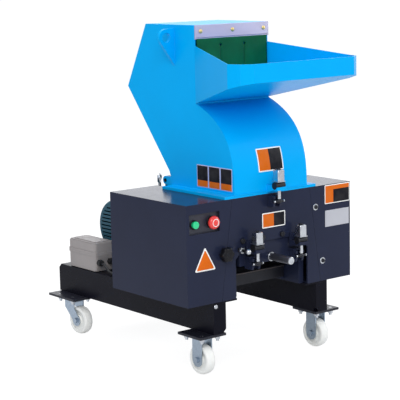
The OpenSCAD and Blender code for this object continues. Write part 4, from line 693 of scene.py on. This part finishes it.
@dataclass
class Studio:
    """The floor, the lamps and the camera, which aren't part of the granulator."""

    target: tuple[float, float, float] = (-0.1801, -0.2187, 0.5466)
    turn: float = -38.39
    rise: float = 9.42
    roll: float = -1.24
    distance: float = 4.5959
    lens: float = 128.8
    sky_colour: tuple[float, ...] = (0.9, 0.93, 1.0, 1.0)
    sky_strength: float = 0.66
    floor_half: float = 90.0
    floor_glow: float = 1.19
    floor_glow_share: float = 0.76

    def build(self) -> None:
        """Makes the camera, the lamps, the floor and the world."""
        self.camera()
        self.lamp("key_lamp", (-2.6, -3.4, 3.0), (0.0, 0.0, 0.5), 2.4, 106.0)
        self.lamp("side_lamp", (3.4, -2.2, 2.0), (0.0, 0.0, 0.5), 2.0, 38.0)
        self.lamp("top_lamp", (0.2, 0.6, 3.6), (0.0, 0.0, 0.4), 2.6, 60.0)
        back = self.lamp("back_lamp", (3.3, 4.1, 1.5), (0.0, 0.0, 0.7), 7.0, 60.0)
        back.data.shape = "RECTANGLE"
        back.data.size_y = 2.6
        back.visible_camera = False
        self.world()
        self.floor()

    def camera(self) -> None:
        """Stands the camera at the photograph's angle, with its small roll."""
        turn, rise, roll = (math.radians(v) for v in (self.turn, self.rise, self.roll))
        back = Vector((math.sin(turn) * math.cos(rise), -math.cos(turn) * math.cos(rise), math.sin(rise)))
        right = Vector((math.cos(turn), math.sin(turn), 0.0))
        up = back.cross(right)
        x_axis = right * math.cos(roll) + up * math.sin(roll)
        y_axis = up * math.cos(roll) - right * math.sin(roll)
        data = bpy.data.cameras.new("camera")
        data.lens = self.lens
        data.sensor_width = 36.0
        made = linked("camera", data)
        place = Matrix((x_axis, y_axis, back)).transposed().to_4x4()
        place.translation = Vector(self.target) + back * self.distance
        made.matrix_world = place
        bpy.context.scene.camera = made

    def lamp(self, name: str, place: tuple, aim: tuple, size: float, watts: float) -> bpy.types.Object:
        """Adds a soft square lamp that looks at a point, and returns it."""
        data = bpy.data.lights.new(name, "AREA")
        data.size = size
        data.energy = watts
        made = linked(name, data)
        made.location = place
        made.rotation_euler = (Vector(aim) - Vector(place)).to_track_quat("-Z", "Y").to_euler()
        return made

    def world(self) -> None:
        """A soft bluish world, which the camera sees as plain white."""
        world = bpy.data.worlds.new("studio")
        bpy.context.scene.world = world
        world.use_nodes = True
        tree = world.node_tree
        tree.nodes.clear()
        output, soft, seen, path, mix = (
            tree.nodes.new("ShaderNode" + kind)
            for kind in ("OutputWorld", "Background", "Background", "LightPath", "MixShader")
        )
        for sky, colour, strength in ((soft, self.sky_colour, self.sky_strength), (seen, WHITE, 1.0)):
            sky.inputs["Color"].default_value = colour
            sky.inputs["Strength"].default_value = strength
        for number, link in enumerate((path.outputs["Is Camera Ray"], soft.outputs[0], seen.outputs[0])):
            tree.links.new(link, mix.inputs[number])
        tree.links.new(mix.outputs[0], output.inputs["Surface"])

    def floor(self) -> None:
        """A wide pale floor that fades into the background."""
        mesh = bpy.data.meshes.new("floor")
        signs = np.array([[-1.0, -1.0, 0.0], [1.0, -1.0, 0.0], [1.0, 1.0, 0.0], [-1.0, 1.0, 0.0]])
        corners = self.floor_half * signs
        mesh.from_pydata(corners.tolist(), [], [(0, 1, 2, 3)])
        floor = linked("floor", mesh)
        graph = Graph("floor_paper")
        graph.shader.inputs["Base Color"].default_value = (0.8, 0.8, 0.8, 1.0)
        graph.shader.inputs["Roughness"].default_value = 0.8
        white = graph.node("Emission", Color=WHITE, Strength=self.floor_glow)
        path = graph.node("LightPath").outputs["Is Camera Ray"]
        seen = graph.node("MixShader", Fac=graph.sum("MULTIPLY", path, self.floor_glow_share))
        output = next(n for n in graph.tree.nodes if n.bl_idname == "ShaderNodeOutputMaterial")
        graph.feed(seen.inputs[1], graph.shader.outputs["BSDF"])
        graph.feed(seen.inputs[2], white.outputs[0])
        graph.feed(output.inputs["Surface"], seen.outputs[0])
        mesh.materials.append(graph.material)


@dataclass(frozen=True)
class Sign:
    """A thin plate with rounded corners, bare of words and pictures."""

    name: str
    corners: tuple[tuple[float, float], ...]
    finish: Finish
    level: float = 0.0
    body: str = "machine_frame"
    left_side: bool = False
    rounding: float = 3.0
    thickness: float = 0.7
    bend: tuple[tuple[float, ...], tuple[float, ...]] | None = None

    def build(self) -> None:
        """Builds the plate from its outline, shrunk ring by ring towards the middle.

        A ring is middle + share * (outline - middle), and its depth rises from the wall to the plate's face.
        On a bent wall the depth is counted from the wall's own curve at the ring's height.
        """
        outline = evenly(rounded_outline(np.array(self.corners), self.rounding), 4.0)
        middle = (outline.min(0) + outline.max(0)) / 2
        shares = np.array([0.2, 0.6, 1.0, 1.0, 0.993, 0.75, 0.5, 0.25])
        depths = np.array([-0.2, -0.2, -0.2, 0.8, 1.0, 1.0, 1.0, 1.0]) * self.thickness
        flat = middle + shares[:, None, None] * (outline - middle)
        depth = np.broadcast_to(depths[:, None], flat.shape[:2])
        wall = np.full(flat.shape[:2], self.level)
        if self.bend is not None:
            wall = wall + np.interp(flat[..., 1], self.bend[0], self.bend[1])
        rings = np.stack([flat[..., 0], wall - depth, flat[..., 1]], -1)
        if self.left_side:
            rings = np.stack([wall - depth, flat[..., 0], flat[..., 1]], -1)
        spots = np.vstack([flat.reshape(-1, 2), flat[[0, -1]].mean(axis=1)]) - outline.min(0)
        solid(self.name, rings, self.body, self.finish).flat_map(spots / MM_IN_METRE)


def box_corners(x0: float, x1: float, z0: float, z1: float) -> tuple:
    """The four corners of an upright rectangle."""
    return ((x0, z0), (x1, z0), (x1, z1), (x0, z1))


def printed(name: str, x0: float, x1: float, z0: float, z1: float, split: float, **more: object) -> SignFinish:
    """A printed finish for a plate of the given place."""
    return SignFinish(
        name, "#0e0e17", 0.4, edge=0.0004, specular=0.1, relief=0.00002, grain=Grain.MOULDED, split=split,
        width=(x1 - x0) / MM_IN_METRE, height_m=(z1 - z0) / MM_IN_METRE, **more,
    )


@dataclass
class Signs:
    """The plain plates on the hopper, the front plate and the guards."""

    hopper_side: float = -154.5
    front_curve_z: tuple[float, ...] = (592.83, 735.12, 804.87, 852.3)
    front_curve_y: tuple[float, ...] = (0.0, 0.0, 57.66, 186.0)

    def build(self) -> None:
        """Builds the plates one by one."""
        self.side_panels()
        self.hopper_front()
        self.front_plate()
        self.guards()

    def side_panels(self) -> None:
        """Three tall panels beside each other, dark above and orange below."""
        for number, start in enumerate((10.0, 69.5, 129.0)):
            spot = (start, start + 58.0, 583.5, 656.0)
            finish = printed(f"side_panel_print_{number}", *spot, split=0.31, rim=0.0024, border="#b7b6d8")
            place = (self.hopper_side, "hopper", True)
            Sign(f"side_panel_{number}", box_corners(*spot), finish, *place, rounding=1.5).build()

    def hopper_front(self) -> None:
        """The plate that follows the hopper's curved front.

        The front is a cubic arc, for the height and for the depth:
        a (1 - t)^3 + 3b t (1 - t)^2 + 3c t^2 (1 - t) + d t^3.
        """
        t = np.linspace(0.0, 1.0, 60)
        weights = np.stack([(1 - t) ** 3, 3 * t * (1 - t) ** 2, 3 * t**2 * (1 - t), t**3])
        height = np.concatenate([[500.0], np.array(self.front_curve_z) @ weights])
        depth = np.concatenate([[0.0], np.array(self.front_curve_y) @ weights])
        spot = (-50.0, 55.0, 636.0, 710.0)
        finish = printed("hopper_front_print", *spot, split=0.47, across=True, rim=0.0036)
        bend = (tuple(height), tuple(depth))
        Sign("hopper_front_plate", box_corners(*spot), finish, 0.0, "hopper", bend=bend, rounding=3.0).build()

    def front_plate(self) -> None:
        """The plate in the middle of the front plate."""
        spot = (-41.0, 57.0, 453.0, 502.0)
        finish = printed("front_plate_print", *spot, split=0.5, across=True, rim=0.0032)
        Sign("front_centre_plate", box_corners(*spot), finish, rounding=2.5).build()

    def guards(self) -> None:
        """The plain triangle of the left guard, and the two plates of the right guard."""
        border = ((-320.5, 350.5), (-235.5, 350.5), (-278.0, 426.5))
        middle = ((-313.5, 354.5), (-242.5, 354.5), (-278.0, 417.5))
        Sign("left_guard_border", border, SIGN_WHITE, rounding=8.0).build()
        Sign("left_guard_plate", middle, SIGN_ORANGE, -0.6, rounding=6.0, thickness=0.35).build()
        spot = (234.0, 348.0, 499.0, 562.0)
        finish = printed("guard_print", *spot, split=0.34, across=True, rim=0.0026, band=0.26)
        Sign("right_guard_plate", box_corners(*spot), finish, rounding=2.0).build()
        Sign("silver_plate", box_corners(235.0, 344.0, 422.0, 477.0), SIGN_SILVER, rounding=2.0).build()


@dataclass
class Caster:
    """One wheel with its bearing rings, and the ball race of a swivel."""

    name: str
    centre: tuple[float, float, float]
    turn: float
    body: str
    swivel: tuple[float, float] | None = None
    swivel_body: str = ""
    half: float = 16.0
    radius: float = 50.0
    crown: float = 4.0
    crown_power: float = 2.4
    edge: float = 0.9
    inset: float = 0.15
    scuffed_from: float = 44.0
    race_top: float = 129.0
    sides: int = 56

    def build(self) -> None:
        """Builds the wheel as a turned ring.

        The tread's radius is radius - inset - crown * |h / half|^power at the height h along the axle, and the
        sides step in to a web between the rim and the hub.
        """
        axle = (math.cos(math.radians(self.turn)), math.sin(math.radians(self.turn)), 0.0)
        tread = np.linspace(self.edge - self.half, self.half - self.edge, 19)
        fall = self.crown * np.abs(tread / self.half) ** self.crown_power
        crowned = np.stack([tread, self.radius - fall - self.inset], -1)
        half = [
            (15.98, 44.2), (15.98, 38.0), (15.4, 36.6), (12.4, 35.4), (10.4, 33.6), (10.0, 31.0), (10.0, 21.0),
            (10.5, 19.2), (12.4, 17.9), (15.5, 17.0), (15.98, 16.2), (15.98, 8.0), (15.2, 6.1),
        ]
        profile = crowned.tolist() + half + [(-h, r) for h, r in reversed(half)]
        radii = np.repeat(np.array(profile)[:, 1], self.sides)
        worn = np.clip((radii - self.scuffed_from) / 3.0, 0.0, 1.0)
        wheel = solid(
            self.name + "_nylon", turned(profile, self.centre, axle, self.sides), self.body, NYLON, loop=True
        )
        wheel.attribute("tread", worn).instead_of(self.name)
        ring = [(15.9, 7.0), (16.5, 7.4), (16.7, 9.0), (16.7, 12.4), (16.2, 13.6), (15.6, 13.8), (15.4, 8.0)]
        for letter, side in (("a", -1.0), ("b", 1.0)):
            spun = turned([(side * h, r) for h, r in ring], self.centre, axle, 40)
            solid(f"{self.name}_bearing_{letter}", spun, self.body, BRIGHT_STEEL, loop=True)
        if self.swivel:
            self.race()

    def race(self) -> None:
        """The rolled ring that holds the swivel's balls."""
        profile = [
            (-8.4, 27.0), (-9.0, 30.0), (-7.6, 32.6), (-5.6, 33.4), (-3.4, 32.8), (-2.4, 30.6), (-1.4, 28.4),
        ]
        rings = turned(profile, (*self.swivel, self.race_top), UPWARD, self.sides)
        solid(self.name + "_race", rings, self.swivel_body, ZINC, loop=True)


@dataclass
class Casters:
    """The four casters."""

    half_track: float = 247.0
    front_y: float = 63.0
    swivel_y: float = 796.0
    trail: float = 36.0
    turns: dict[str, float] = field(default_factory=lambda: {"left": 4.0, "right": -7.0})

    def build(self) -> None:
        """Builds each caster where the CAD has it.

        A rear wheel's centre is the swivel's place + the trail * (sin a, -cos a), where a is the fork's turn.
        """
        for side, sign in (("left", -1.0), ("right", 1.0)):
            x = sign * self.half_track
            Caster(f"front_{side}_wheel", (x, self.front_y, 50.0), 0.0, f"front_{side}_wheel").build()
            turn = math.radians(self.turns[side])
            centre = (x + self.trail * math.sin(turn), self.swivel_y - self.trail * math.cos(turn), 50.0)
            Caster(
                f"rear_{side}_wheel", centre, self.turns[side], f"rear_{side}_wheel", (x, self.swivel_y),
                f"rear_{side}_swivel",
            ).build()


@dataclass
class Controls:
    """The two buttons with their rings, and the star knob."""

    start: tuple[float, float] = (-313.8, 500.2)
    stop: tuple[float, float] = (-243.6, 500.2)
    knob: tuple[float, float] = (-203.0, 394.0)

    def build(self) -> None:
        """Builds the controls, which all point forwards."""
        green = [
            (-30.9, 9.9), (-0.2, 9.9), (0.0, 11.9), (3.6, 11.9), (4.9, 11.3), (5.7, 10.0), (5.95, 6.0),
            (6.0, 2.0),
        ]
        self.add("start_cap", green, self.start, START_GREEN, "start_button")
        bezel = [(-8.9, 15.0), (-5.4, 15.2), (-4.6, 14.6), (-4.1, 13.4), (-4.4, 12.4), (-8.9, 12.3)]
        self.ring("start_bezel", bezel, self.start, KNOB_BLACK)
        self.mushroom()
        collar = [(-8.9, 19.6), (-5.6, 19.8), (-4.9, 19.0), (-4.9, 12.4), (-8.9, 12.3)]
        self.ring("stop_collar", collar, self.stop, KNOB_BLACK)
        self.star()

    def add(
        self, name: str, profile: list, place: tuple[float, float], finish: Finish, node: str, *shape: object
    ) -> None:
        """Adds a turned piece on the body named like the node that it stands for."""
        solid(name, turned(profile, (place[0], 0.0, place[1]), FORWARD, *shape), node, finish, node)

    def ring(
        self, name: str, profile: list, place: tuple[float, float], finish: Finish, body: str = "machine_frame"
    ) -> None:
        """Adds a turned ring around a button."""
        solid(name, turned(profile, (place[0], 0.0, place[1]), FORWARD), body, finish, loop=True)

    def mushroom(self) -> None:
        """The stop button: a domed head on a stem, with a pale ring pressed into it."""
        head = [
            (-30.9, 11.9), (0.3, 11.9), (0.8, 12.6), (1.1, 17.0), (1.3, 19.8), (2.4, 20.9), (5.0, 21.0),
            (8.2, 20.4), (11.0, 18.8), (13.2, 16.2), (14.6, 13.2), (14.9, 11.6), (14.2, 10.8), (14.2, 9.6),
            (15.2, 8.6), (16.4, 6.0), (16.8, 3.0), (16.9, 1.0),
        ]
        self.add("stop_cap", head, self.stop, STOP_RED, "stop_button", 64)
        band = [(14.0, 12.2), (14.85, 12.5), (15.1, 11.9), (15.0, 10.7), (14.6, 10.2), (14.0, 10.4)]
        self.ring("stop_band", band, self.stop, SIGN_WHITE, "stop_button")

    def star(self) -> None:
        """The star knob: a turned shape with six lobes, which swell only along the grip."""
        profile = [
            (-20.0, 4.9), (0.0, 4.9), (0.4, 11.8), (5.0, 12.0), (6.0, 16.0), (7.0, 20.4), (9.0, 22.2),
            (12.0, 22.7), (22.0, 22.7), (25.0, 22.0), (27.0, 20.0), (27.9, 17.0), (27.9, 9.5), (27.2, 8.6),
            (27.2, 4.0), (27.4, 1.0),
        ]
        swell = np.array([0.0] * 4 + [0.05, 0.08, 0.1, 0.1, 0.1, 0.1, 0.09, 0.06] + [0.0] * 4)
        self.add("star_grip", profile, self.knob, KNOB_BLACK, "star_knob", 96, 6, swell[:, None])


@dataclass
class Clamps:
    """The tall square nuts with their washers, and the grip of the screen cradle."""

    nut: float = 27.0
    tall: float = 39.0
    forward: float = -36.0
    foot: float = 12.3
    pin_drop: float = 51.0
    squareness: float = 9.0
    sides: int = 72
    grip: tuple[float, float, float] = (0.0, 6.7, 356.0)
    places: dict[str, tuple[float, float]] = field(
        default_factory=lambda: {"upper": (0.0, 593.0), "left": (-93.0, 403.0), "right": (93.0, 403.0)}
    )

    def build(self) -> None:
        """Builds a nut for each clamp, and the handle."""
        for name, (x, z) in self.places.items():
            self.square_nut(name, x, z + self.foot)
            self.washer(name, x, z + self.foot)
            self.shank(name, x, z)
        self.handle()

    def square_nut(self, name: str, x: float, z: float) -> None:
        """A square bar with rounded edges and turned ends, bored through.

        A ring's corner at the angle a lies at half / (|cos a|^p + |sin a|^p)^(1/p) from the axis, held down
        to the turned end's radius where that is smaller.
        """
        half = self.nut / 2
        angle = np.linspace(0.0, 2 * np.pi, self.sides, endpoint=False)
        power = self.squareness
        square = half / (np.abs(np.cos(angle)) ** power + np.abs(np.sin(angle)) ** power) ** (1 / power)
        levels = np.array([0.0, 0.0, 1.6, 3.0, -3.0, -1.2, 0.0, 0.0, 0.0, -1.5, 1.5, 0.0])
        levels[4:10] += self.tall
        limits = np.array([11.5, 14.2, 16.6, 30.0, 30.0, 16.4, 13.2, 11.0, 7.2, 6.1, 6.1, 7.2])
        reach = np.minimum(square[None, :], limits[:, None])
        plan = reach[..., None] * np.stack([np.cos(angle), np.sin(angle)], -1)
        self.upright(f"{name}_square_nut", plan, x, z + levels, name).instead_of(f"{name}_clamp_nut")

    def washer(self, name: str, x: float, z: float) -> None:
        """A thin square washer with rounded corners, which turns with the nut."""
        outline = rounded_outline(16.5 * np.array([[-1.0, -1.0], [1.0, -1.0], [1.0, 1.0], [-1.0, 1.0]]), 4.0)
        shares = np.array([0.44, 0.97, 1.0, 1.0, 0.97, 0.44])
        levels = np.array([-0.1, -0.1, 0.3, 2.0, 2.4, 2.4])
        self.upright(f"{name}_washer", shares[:, None, None] * outline, x, z + levels, name)

    def upright(self, piece: str, plan: np.ndarray, x: float, levels: np.ndarray, name: str) -> Piece:
        """Adds a bright ring-shaped piece on a nut's body, from a plan about the rod for each level."""
        height = np.broadcast_to(levels[:, None, None], (*plan.shape[:2], 1))
        rings = np.concatenate([np.array([x, self.forward]) + plan, height], -1)
        return solid(piece, rings, f"{name}_nut", BRIGHT_STEEL, loop=True)

    def shank(self, name: str, x: float, z: float) -> None:
        """The bright lower end of the rod, with the two ends of its cross pin."""
        rod = [(-43.0, 5.0), (-43.0, 6.15), (-41.5, 6.25), (-17.0, 6.25), (-15.5, 6.15), (-15.5, 5.0)]
        solid(f"{name}_shank", turned(rod, (x, self.forward, z), UPWARD, 32), f"{name}_clamp", BRIGHT_STEEL)
        tip = [(16.0, 3.0), (17.6, 4.1), (21.2, 4.15), (22.0, 3.6), (22.1, 1.4)]
        for letter, side in (("a", -1.0), ("b", 1.0)):
            rings = turned([(side * h, r) for h, r in tip], (x, self.forward, z - self.pin_drop), SIDEWAYS, 28)
            solid(f"{name}_pin_{letter}", rings, f"{name}_clamp", BRIGHT_STEEL)

    def handle(self) -> None:
        """The cradle's handle: a dark sleeve on a bright collar, closed by a bright cap with a screw in it."""
        sleeve = [(4.6, 10.0), (4.7, 12.0), (6.0, 12.45), (93.0, 12.45), (94.2, 12.0), (94.3, 10.0)]
        collar = [(-10.0, 5.9), (-0.1, 5.9), (0.0, 14.2), (0.6, 14.9), (4.2, 14.9), (4.9, 14.2), (5.0, 11.0)]
        cap = [
            (94.0, 11.0), (94.2, 12.3), (96.6, 12.4), (98.4, 11.9), (99.2, 10.6), (99.4, 7.0), (98.6, 5.6),
            (98.6, 2.0),
        ]
        for name, profile, finish, nodes in (
            ("sleeve", sleeve, HANDLE_DARK, ["cradle_handle"]), ("collar", collar, BRIGHT_STEEL, []),
            ("cap", cap, BRIGHT_STEEL, []),
        ):
            solid(f"handle_{name}", turned(profile, self.grip, FORWARD, 56), "cradle", finish, *nodes)


@dataclass
class Fasteners:
    """The small screws that the photograph shows."""

    guard: tuple[tuple[float, float], ...] = ((192.0, 495.0), (222.0, 311.0))
    curtain: tuple[tuple[float, float], ...] = ((-132.9, 1082.3), (0.0, 1082.3), (132.9, 1082.3))
    beam: tuple[float, float] = (-236.0, 228.0)
    stud: tuple[float, float] = (-140.0, 398.0)
    strip_face: float = 180.8

    def build(self) -> None:
        """Builds the guard screws, the domed brass screws, the adjusting stud's end and the beam's bolt."""
        washer = [(0.0, 8.0), (0.0, 10.9), (0.9, 11.0), (1.7, 10.4), (2.0, 9.0), (2.0, 5.0)]
        head = [(1.8, 6.9), (3.9, 7.0), (5.6, 6.2), (6.7, 4.4), (6.9, 3.2), (4.6, 2.9), (4.6, 1.0)]
        for number, (x, z) in enumerate(self.guard):
            self.add(f"guard_washer_{number}", washer, (x, 0.0, z), BRIGHT_STEEL)
            self.add(f"guard_head_{number}", head, (x, 0.0, z), BLACK_STEEL).instead_of("guard_screws")
        dome = [(-4.0, 3.9), (0.0, 3.9), (0.0, 6.9), (0.8, 7.0), (2.2, 6.2), (3.4, 4.2), (3.9, 2.0), (4.0, 0.8)]
        for number, (x, z) in enumerate(self.curtain):
            place = (x, self.strip_face, z)
            self.add(f"strip_screw_{number}", dome, place, BRASS, "hopper").instead_of("curtain_screws")
        nut = [(9.9, 6.5), (9.9, 9.2), (10.8, 10.3), (19.2, 10.3), (20.1, 9.2), (20.1, 6.5)]
        stud = (self.stud[0], 0.0, self.stud[1])
        self.add("stud_nut", nut, stud, BRIGHT_STEEL, sides=6)
        t = np.linspace(0.12, math.pi - 0.12, 15)
        ball = np.stack([46.0 - 9.15 * np.cos(t), 9.15 * np.sin(t)], -1)
        self.add("stud_dome", ball.tolist(), stud, BRIGHT_STEEL)
        bolt = [(0.0, 5.0), (0.0, 6.9), (1.4, 7.0), (2.6, 6.2), (3.4, 4.6), (3.7, 1.5)]
        self.add("beam_bolt", bolt, (self.beam[0], 4.0, self.beam[1]), BRIGHT_STEEL)

    def add(
        self, name: str, profile: list, place: tuple, finish: Finish, body: str = "machine_frame",
        sides: int = 36,
    ) -> Piece:
        """Adds a turned piece that points forwards."""
        return solid(name, turned(profile, place, FORWARD, sides), body, finish)


@dataclass
class Welds:
    """The painted weld beads of the hopper, and the steel lip of the granule tray."""

    wall: float = 154.5
    flange: float = 573.3
    crease: tuple[float, float] = (181.4, 852.3)
    step: float = 2.5
    ripple: float = 1.6
    ripple_share: float = 0.1
    end_share: float = 0.4

    def build(self) -> None:
        """Lays a bead along each seam that the photograph shows."""
        for name, x in (("left", -self.wall), ("right", self.wall)):
            self.bead(f"flange_bead_{name}", (x, 6.0, self.flange), (x, 322.0, self.flange), 3.2)
        self.bead("flange_bead_front", (-self.wall, 0.4, self.flange), (self.wall, 0.4, self.flange), 3.0)
        y, z = self.crease
        self.bead("tray_bead", (-self.wall + 3.0, y, z), (self.wall - 3.0, y, z), 5.4)
        self.lip()

    def bead(self, name: str, start: tuple, end: tuple, radius: float) -> None:
        """A row of low swells: the radius at the length s is radius * (1 - share + share * sin(s / ripple))."""
        first, last = np.array(start, float), np.array(end, float)
        length = float(np.linalg.norm(last - first))
        s = np.linspace(0.0, length, int(length / self.step) + 1)
        swell = (1.0 - self.ripple_share) + self.ripple_share * np.sin(s / self.ripple)
        swell[[0, -1]] = self.end_share
        path = first + (s / length)[:, None] * (last - first)
        rings = tube(path, radius, 14)
        solid(name, path[:, None] + (rings - path[:, None]) * swell[:, None, None], "hopper", HOPPER_BLUE)

    def lip(self) -> None:
        """The folded front edge of the granule tray: a rounded strip on top of the front wall."""
        x = np.linspace(-131.0, 131.0, 24)
        outline = rounded_outline(np.array(box_corners(91.0, 99.0, 292.0, 297.1)), 1.2, 4)
        rings = np.stack([np.column_stack([np.full(len(outline), v), outline]) for v in x])
        solid("tray_lip", rings, "granule_tray", TRAY_STEEL)


CONTROL_ROUTE = [
    (-224, 672, 268), (-224, 650, 268), (-224, 634, 266), (-225, 620, 258), (-226, 604, 249), (-226, 586, 243),
    (-226, 564, 241), (-226, 452, 243), (-226, 430, 250), (-226, 410, 255), (-226, 394, 256), (-227, 374, 255),
    (-229, 350, 252), (-232, 310, 250), (-232, 92, 251), (-232, 70, 256), (-232, 54, 268), (-233, 45, 286),
    (-235, 41, 310), (-238, 40, 340), (-254, 40, 452), (-256, 40, 470),
]
MOTOR_ROUTE = [
    (-179, 672, 268), (-179, 652, 268), (-178, 636, 266), (-174, 620, 262), (-164, 604, 259), (-146, 590, 258),
    (-122, 580, 260), (-96, 572, 266), (-72, 564, 276), (-50, 557, 290), (-32, 553, 306), (-20, 551, 324),
    (-14, 550, 346), (-10, 550, 370), (-4, 550, 384), (2, 550, 388), (9.9, 550, 388),
]


@dataclass
class Cables:
    """The two fixed cables of the starter box."""

    radius: float = 4.0

    def build(self) -> None:
        """Lays a round tube along each route."""
        for name, route in (("control_cable", CONTROL_ROUTE), ("motor_cable", MOTOR_ROUTE)):
            rings = tube(smooth_path(route, 4), self.radius)
            solid(name, rings, "machine_frame", CABLE_BLACK, "starter_cables")


@dataclass(frozen=True)
class Smoothed:
    """A CAD shape with facets, copied so that its curved sides shade smoothly."""

    node: str
    finish: Finish
    angle: float = 24.0
    flat_angle: float = 0.3
    merge_m: float = 0.00001

    def build(self) -> None:
        """Copies the node's mesh, merges its corners and marks its sharp edges."""
        source = frame["nodes"][self.node]
        work = bmesh.new()
        work.from_mesh(source.data)
        bmesh.ops.remove_doubles(work, verts=work.verts, dist=self.merge_m)
        limit = math.radians(self.flat_angle)
        bmesh.ops.dissolve_limit(work, angle_limit=limit, verts=work.verts, edges=work.edges)
        merged = bpy.data.meshes.new("merged")
        work.to_mesh(merged)
        work.free()
        corners = np.zeros(len(merged.vertices) * 3)
        merged.vertices.foreach_get("co", corners)
        mesh = bpy.data.meshes.new(self.node + "_smooth")
        mesh.from_pydata(corners.reshape(-1, 3).tolist(), [], [list(p.vertices) for p in merged.polygons])
        bpy.data.meshes.remove(merged)
        mesh.polygons.foreach_set("use_smooth", np.ones(len(mesh.polygons), bool))
        mesh.set_sharp_from_angle(angle=math.radians(self.angle))
        mesh.materials.clear()
        mesh.materials.append(self.finish.material())
        made = linked(self.node + "_smooth", mesh)
        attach(made, source["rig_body"])
        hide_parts(self.node)
        LOG.info("%s_smooth: %d faces", self.node, len(mesh.polygons))


@dataclass
class Curtain:
    """The green rubber curtain: one sheet with two slits, so that three flaps hang from the bar."""

    half: float = 147.5
    top: float = 1059.6
    length: float = 184.0
    y: float = 183.3
    slits: tuple[float, ...] = (-50.1, 50.1)
    slit: float = 1.2
    punch: float = 4.0
    relief: float = 20.0
    thickness: float = 3.0
    columns: int = 15
    rows: int = 32
    fade: float = 24.0
    lean: float = 1.0
    waves: tuple[tuple[float, float, float], ...] = ((2.2, 31.0, 0.8), (1.2, 12.0, 0.0))

    def build(self) -> None:
        """Builds the sheet from a grid of places across and down.

        A flap hangs forward by a slow wave that grows with the square of the way down. Each slit starts at a
        punched hole: its half width there is the square root of punch^2 - (s - centre)^2 at the way down s.
        """
        gap = self.slit / 2
        edges = [-self.half, *(slit + side * gap for slit in self.slits for side in (-1, 1)), self.half]
        across = np.concatenate([
            np.linspace(edges[i], edges[i + 1], self.columns if i % 2 == 0 else 2)[:-1]
            for i in range(len(edges) - 1)
        ])
        across = np.append(across, edges[-1])
        centre = self.relief + self.punch
        hole = centre - self.punch * np.cos(np.linspace(0.0, math.pi, 9))
        above = np.linspace(0.0, self.relief, 4)[:-1]
        below = np.linspace(hole[-1], self.length, self.rows)[1:]
        down = np.concatenate([above, hole, below])
        x, s = np.meshgrid(across, down)
        opened = np.maximum(np.sqrt(np.maximum(self.punch**2 - (s - centre) ** 2, 0.0)) - gap, 0.0)
        for slit in self.slits:
            fall = np.clip(1.0 - (np.abs(x - slit) - gap) / self.fade, 0.0, 1.0)
            x = x + np.sign(x - slit) * opened * fall
        share = s / self.length
        wave = sum(size * np.sin(x / length + phase) for size, length, phase in self.waves)
        y = self.y + share**2 * wave - self.lean * share
        points = np.stack([x, y, self.top - s], -1).reshape(-1, 3)
        index = np.arange(x.size).reshape(x.shape)
        quads = np.stack([index[:-1, :-1], index[1:, :-1], index[1:, 1:], index[:-1, 1:]], -1)
        middle = (across[:-1] + across[1:]) / 2
        cut = np.any(np.abs(middle[:, None] - np.array(self.slits)) < gap, axis=1)
        low = down[:-1] >= self.relief - 0.01
        keep = ~(low[:, None] & cut[None, :])
        piece = Piece("rubber_curtain", points, quads[keep].tolist(), "curtain", CURTAIN_GREEN)
        wall = piece.object.modifiers.new("thickness", "SOLIDIFY")
        wall.thickness = self.thickness / MM_IN_METRE
        wall.offset = 0.0
        piece.instead_of("curtain")


def main() -> None:
    """Builds the granulator's looks in order."""
    logging.basicConfig(level=logging.INFO, format="%(name)s %(message)s")
    view = bpy.context.scene.view_settings
    view.view_transform = "Standard"
    Studio().build()
    dress_solids()
    for node, finish in (
        ("hopper_shell", HOPPER_BLUE), ("feed_tray", HOPPER_BLUE), ("starter_base", CASE_GREY),
        ("starter_lid", CASE_GREY),
    ):
        Smoothed(node, finish).build()
    for part in (Curtain(), Casters(), Controls(), Clamps(), Fasteners(), Welds(), Cables(), Signs()):
        part.build()


if __name__ == "__main__":
    main()
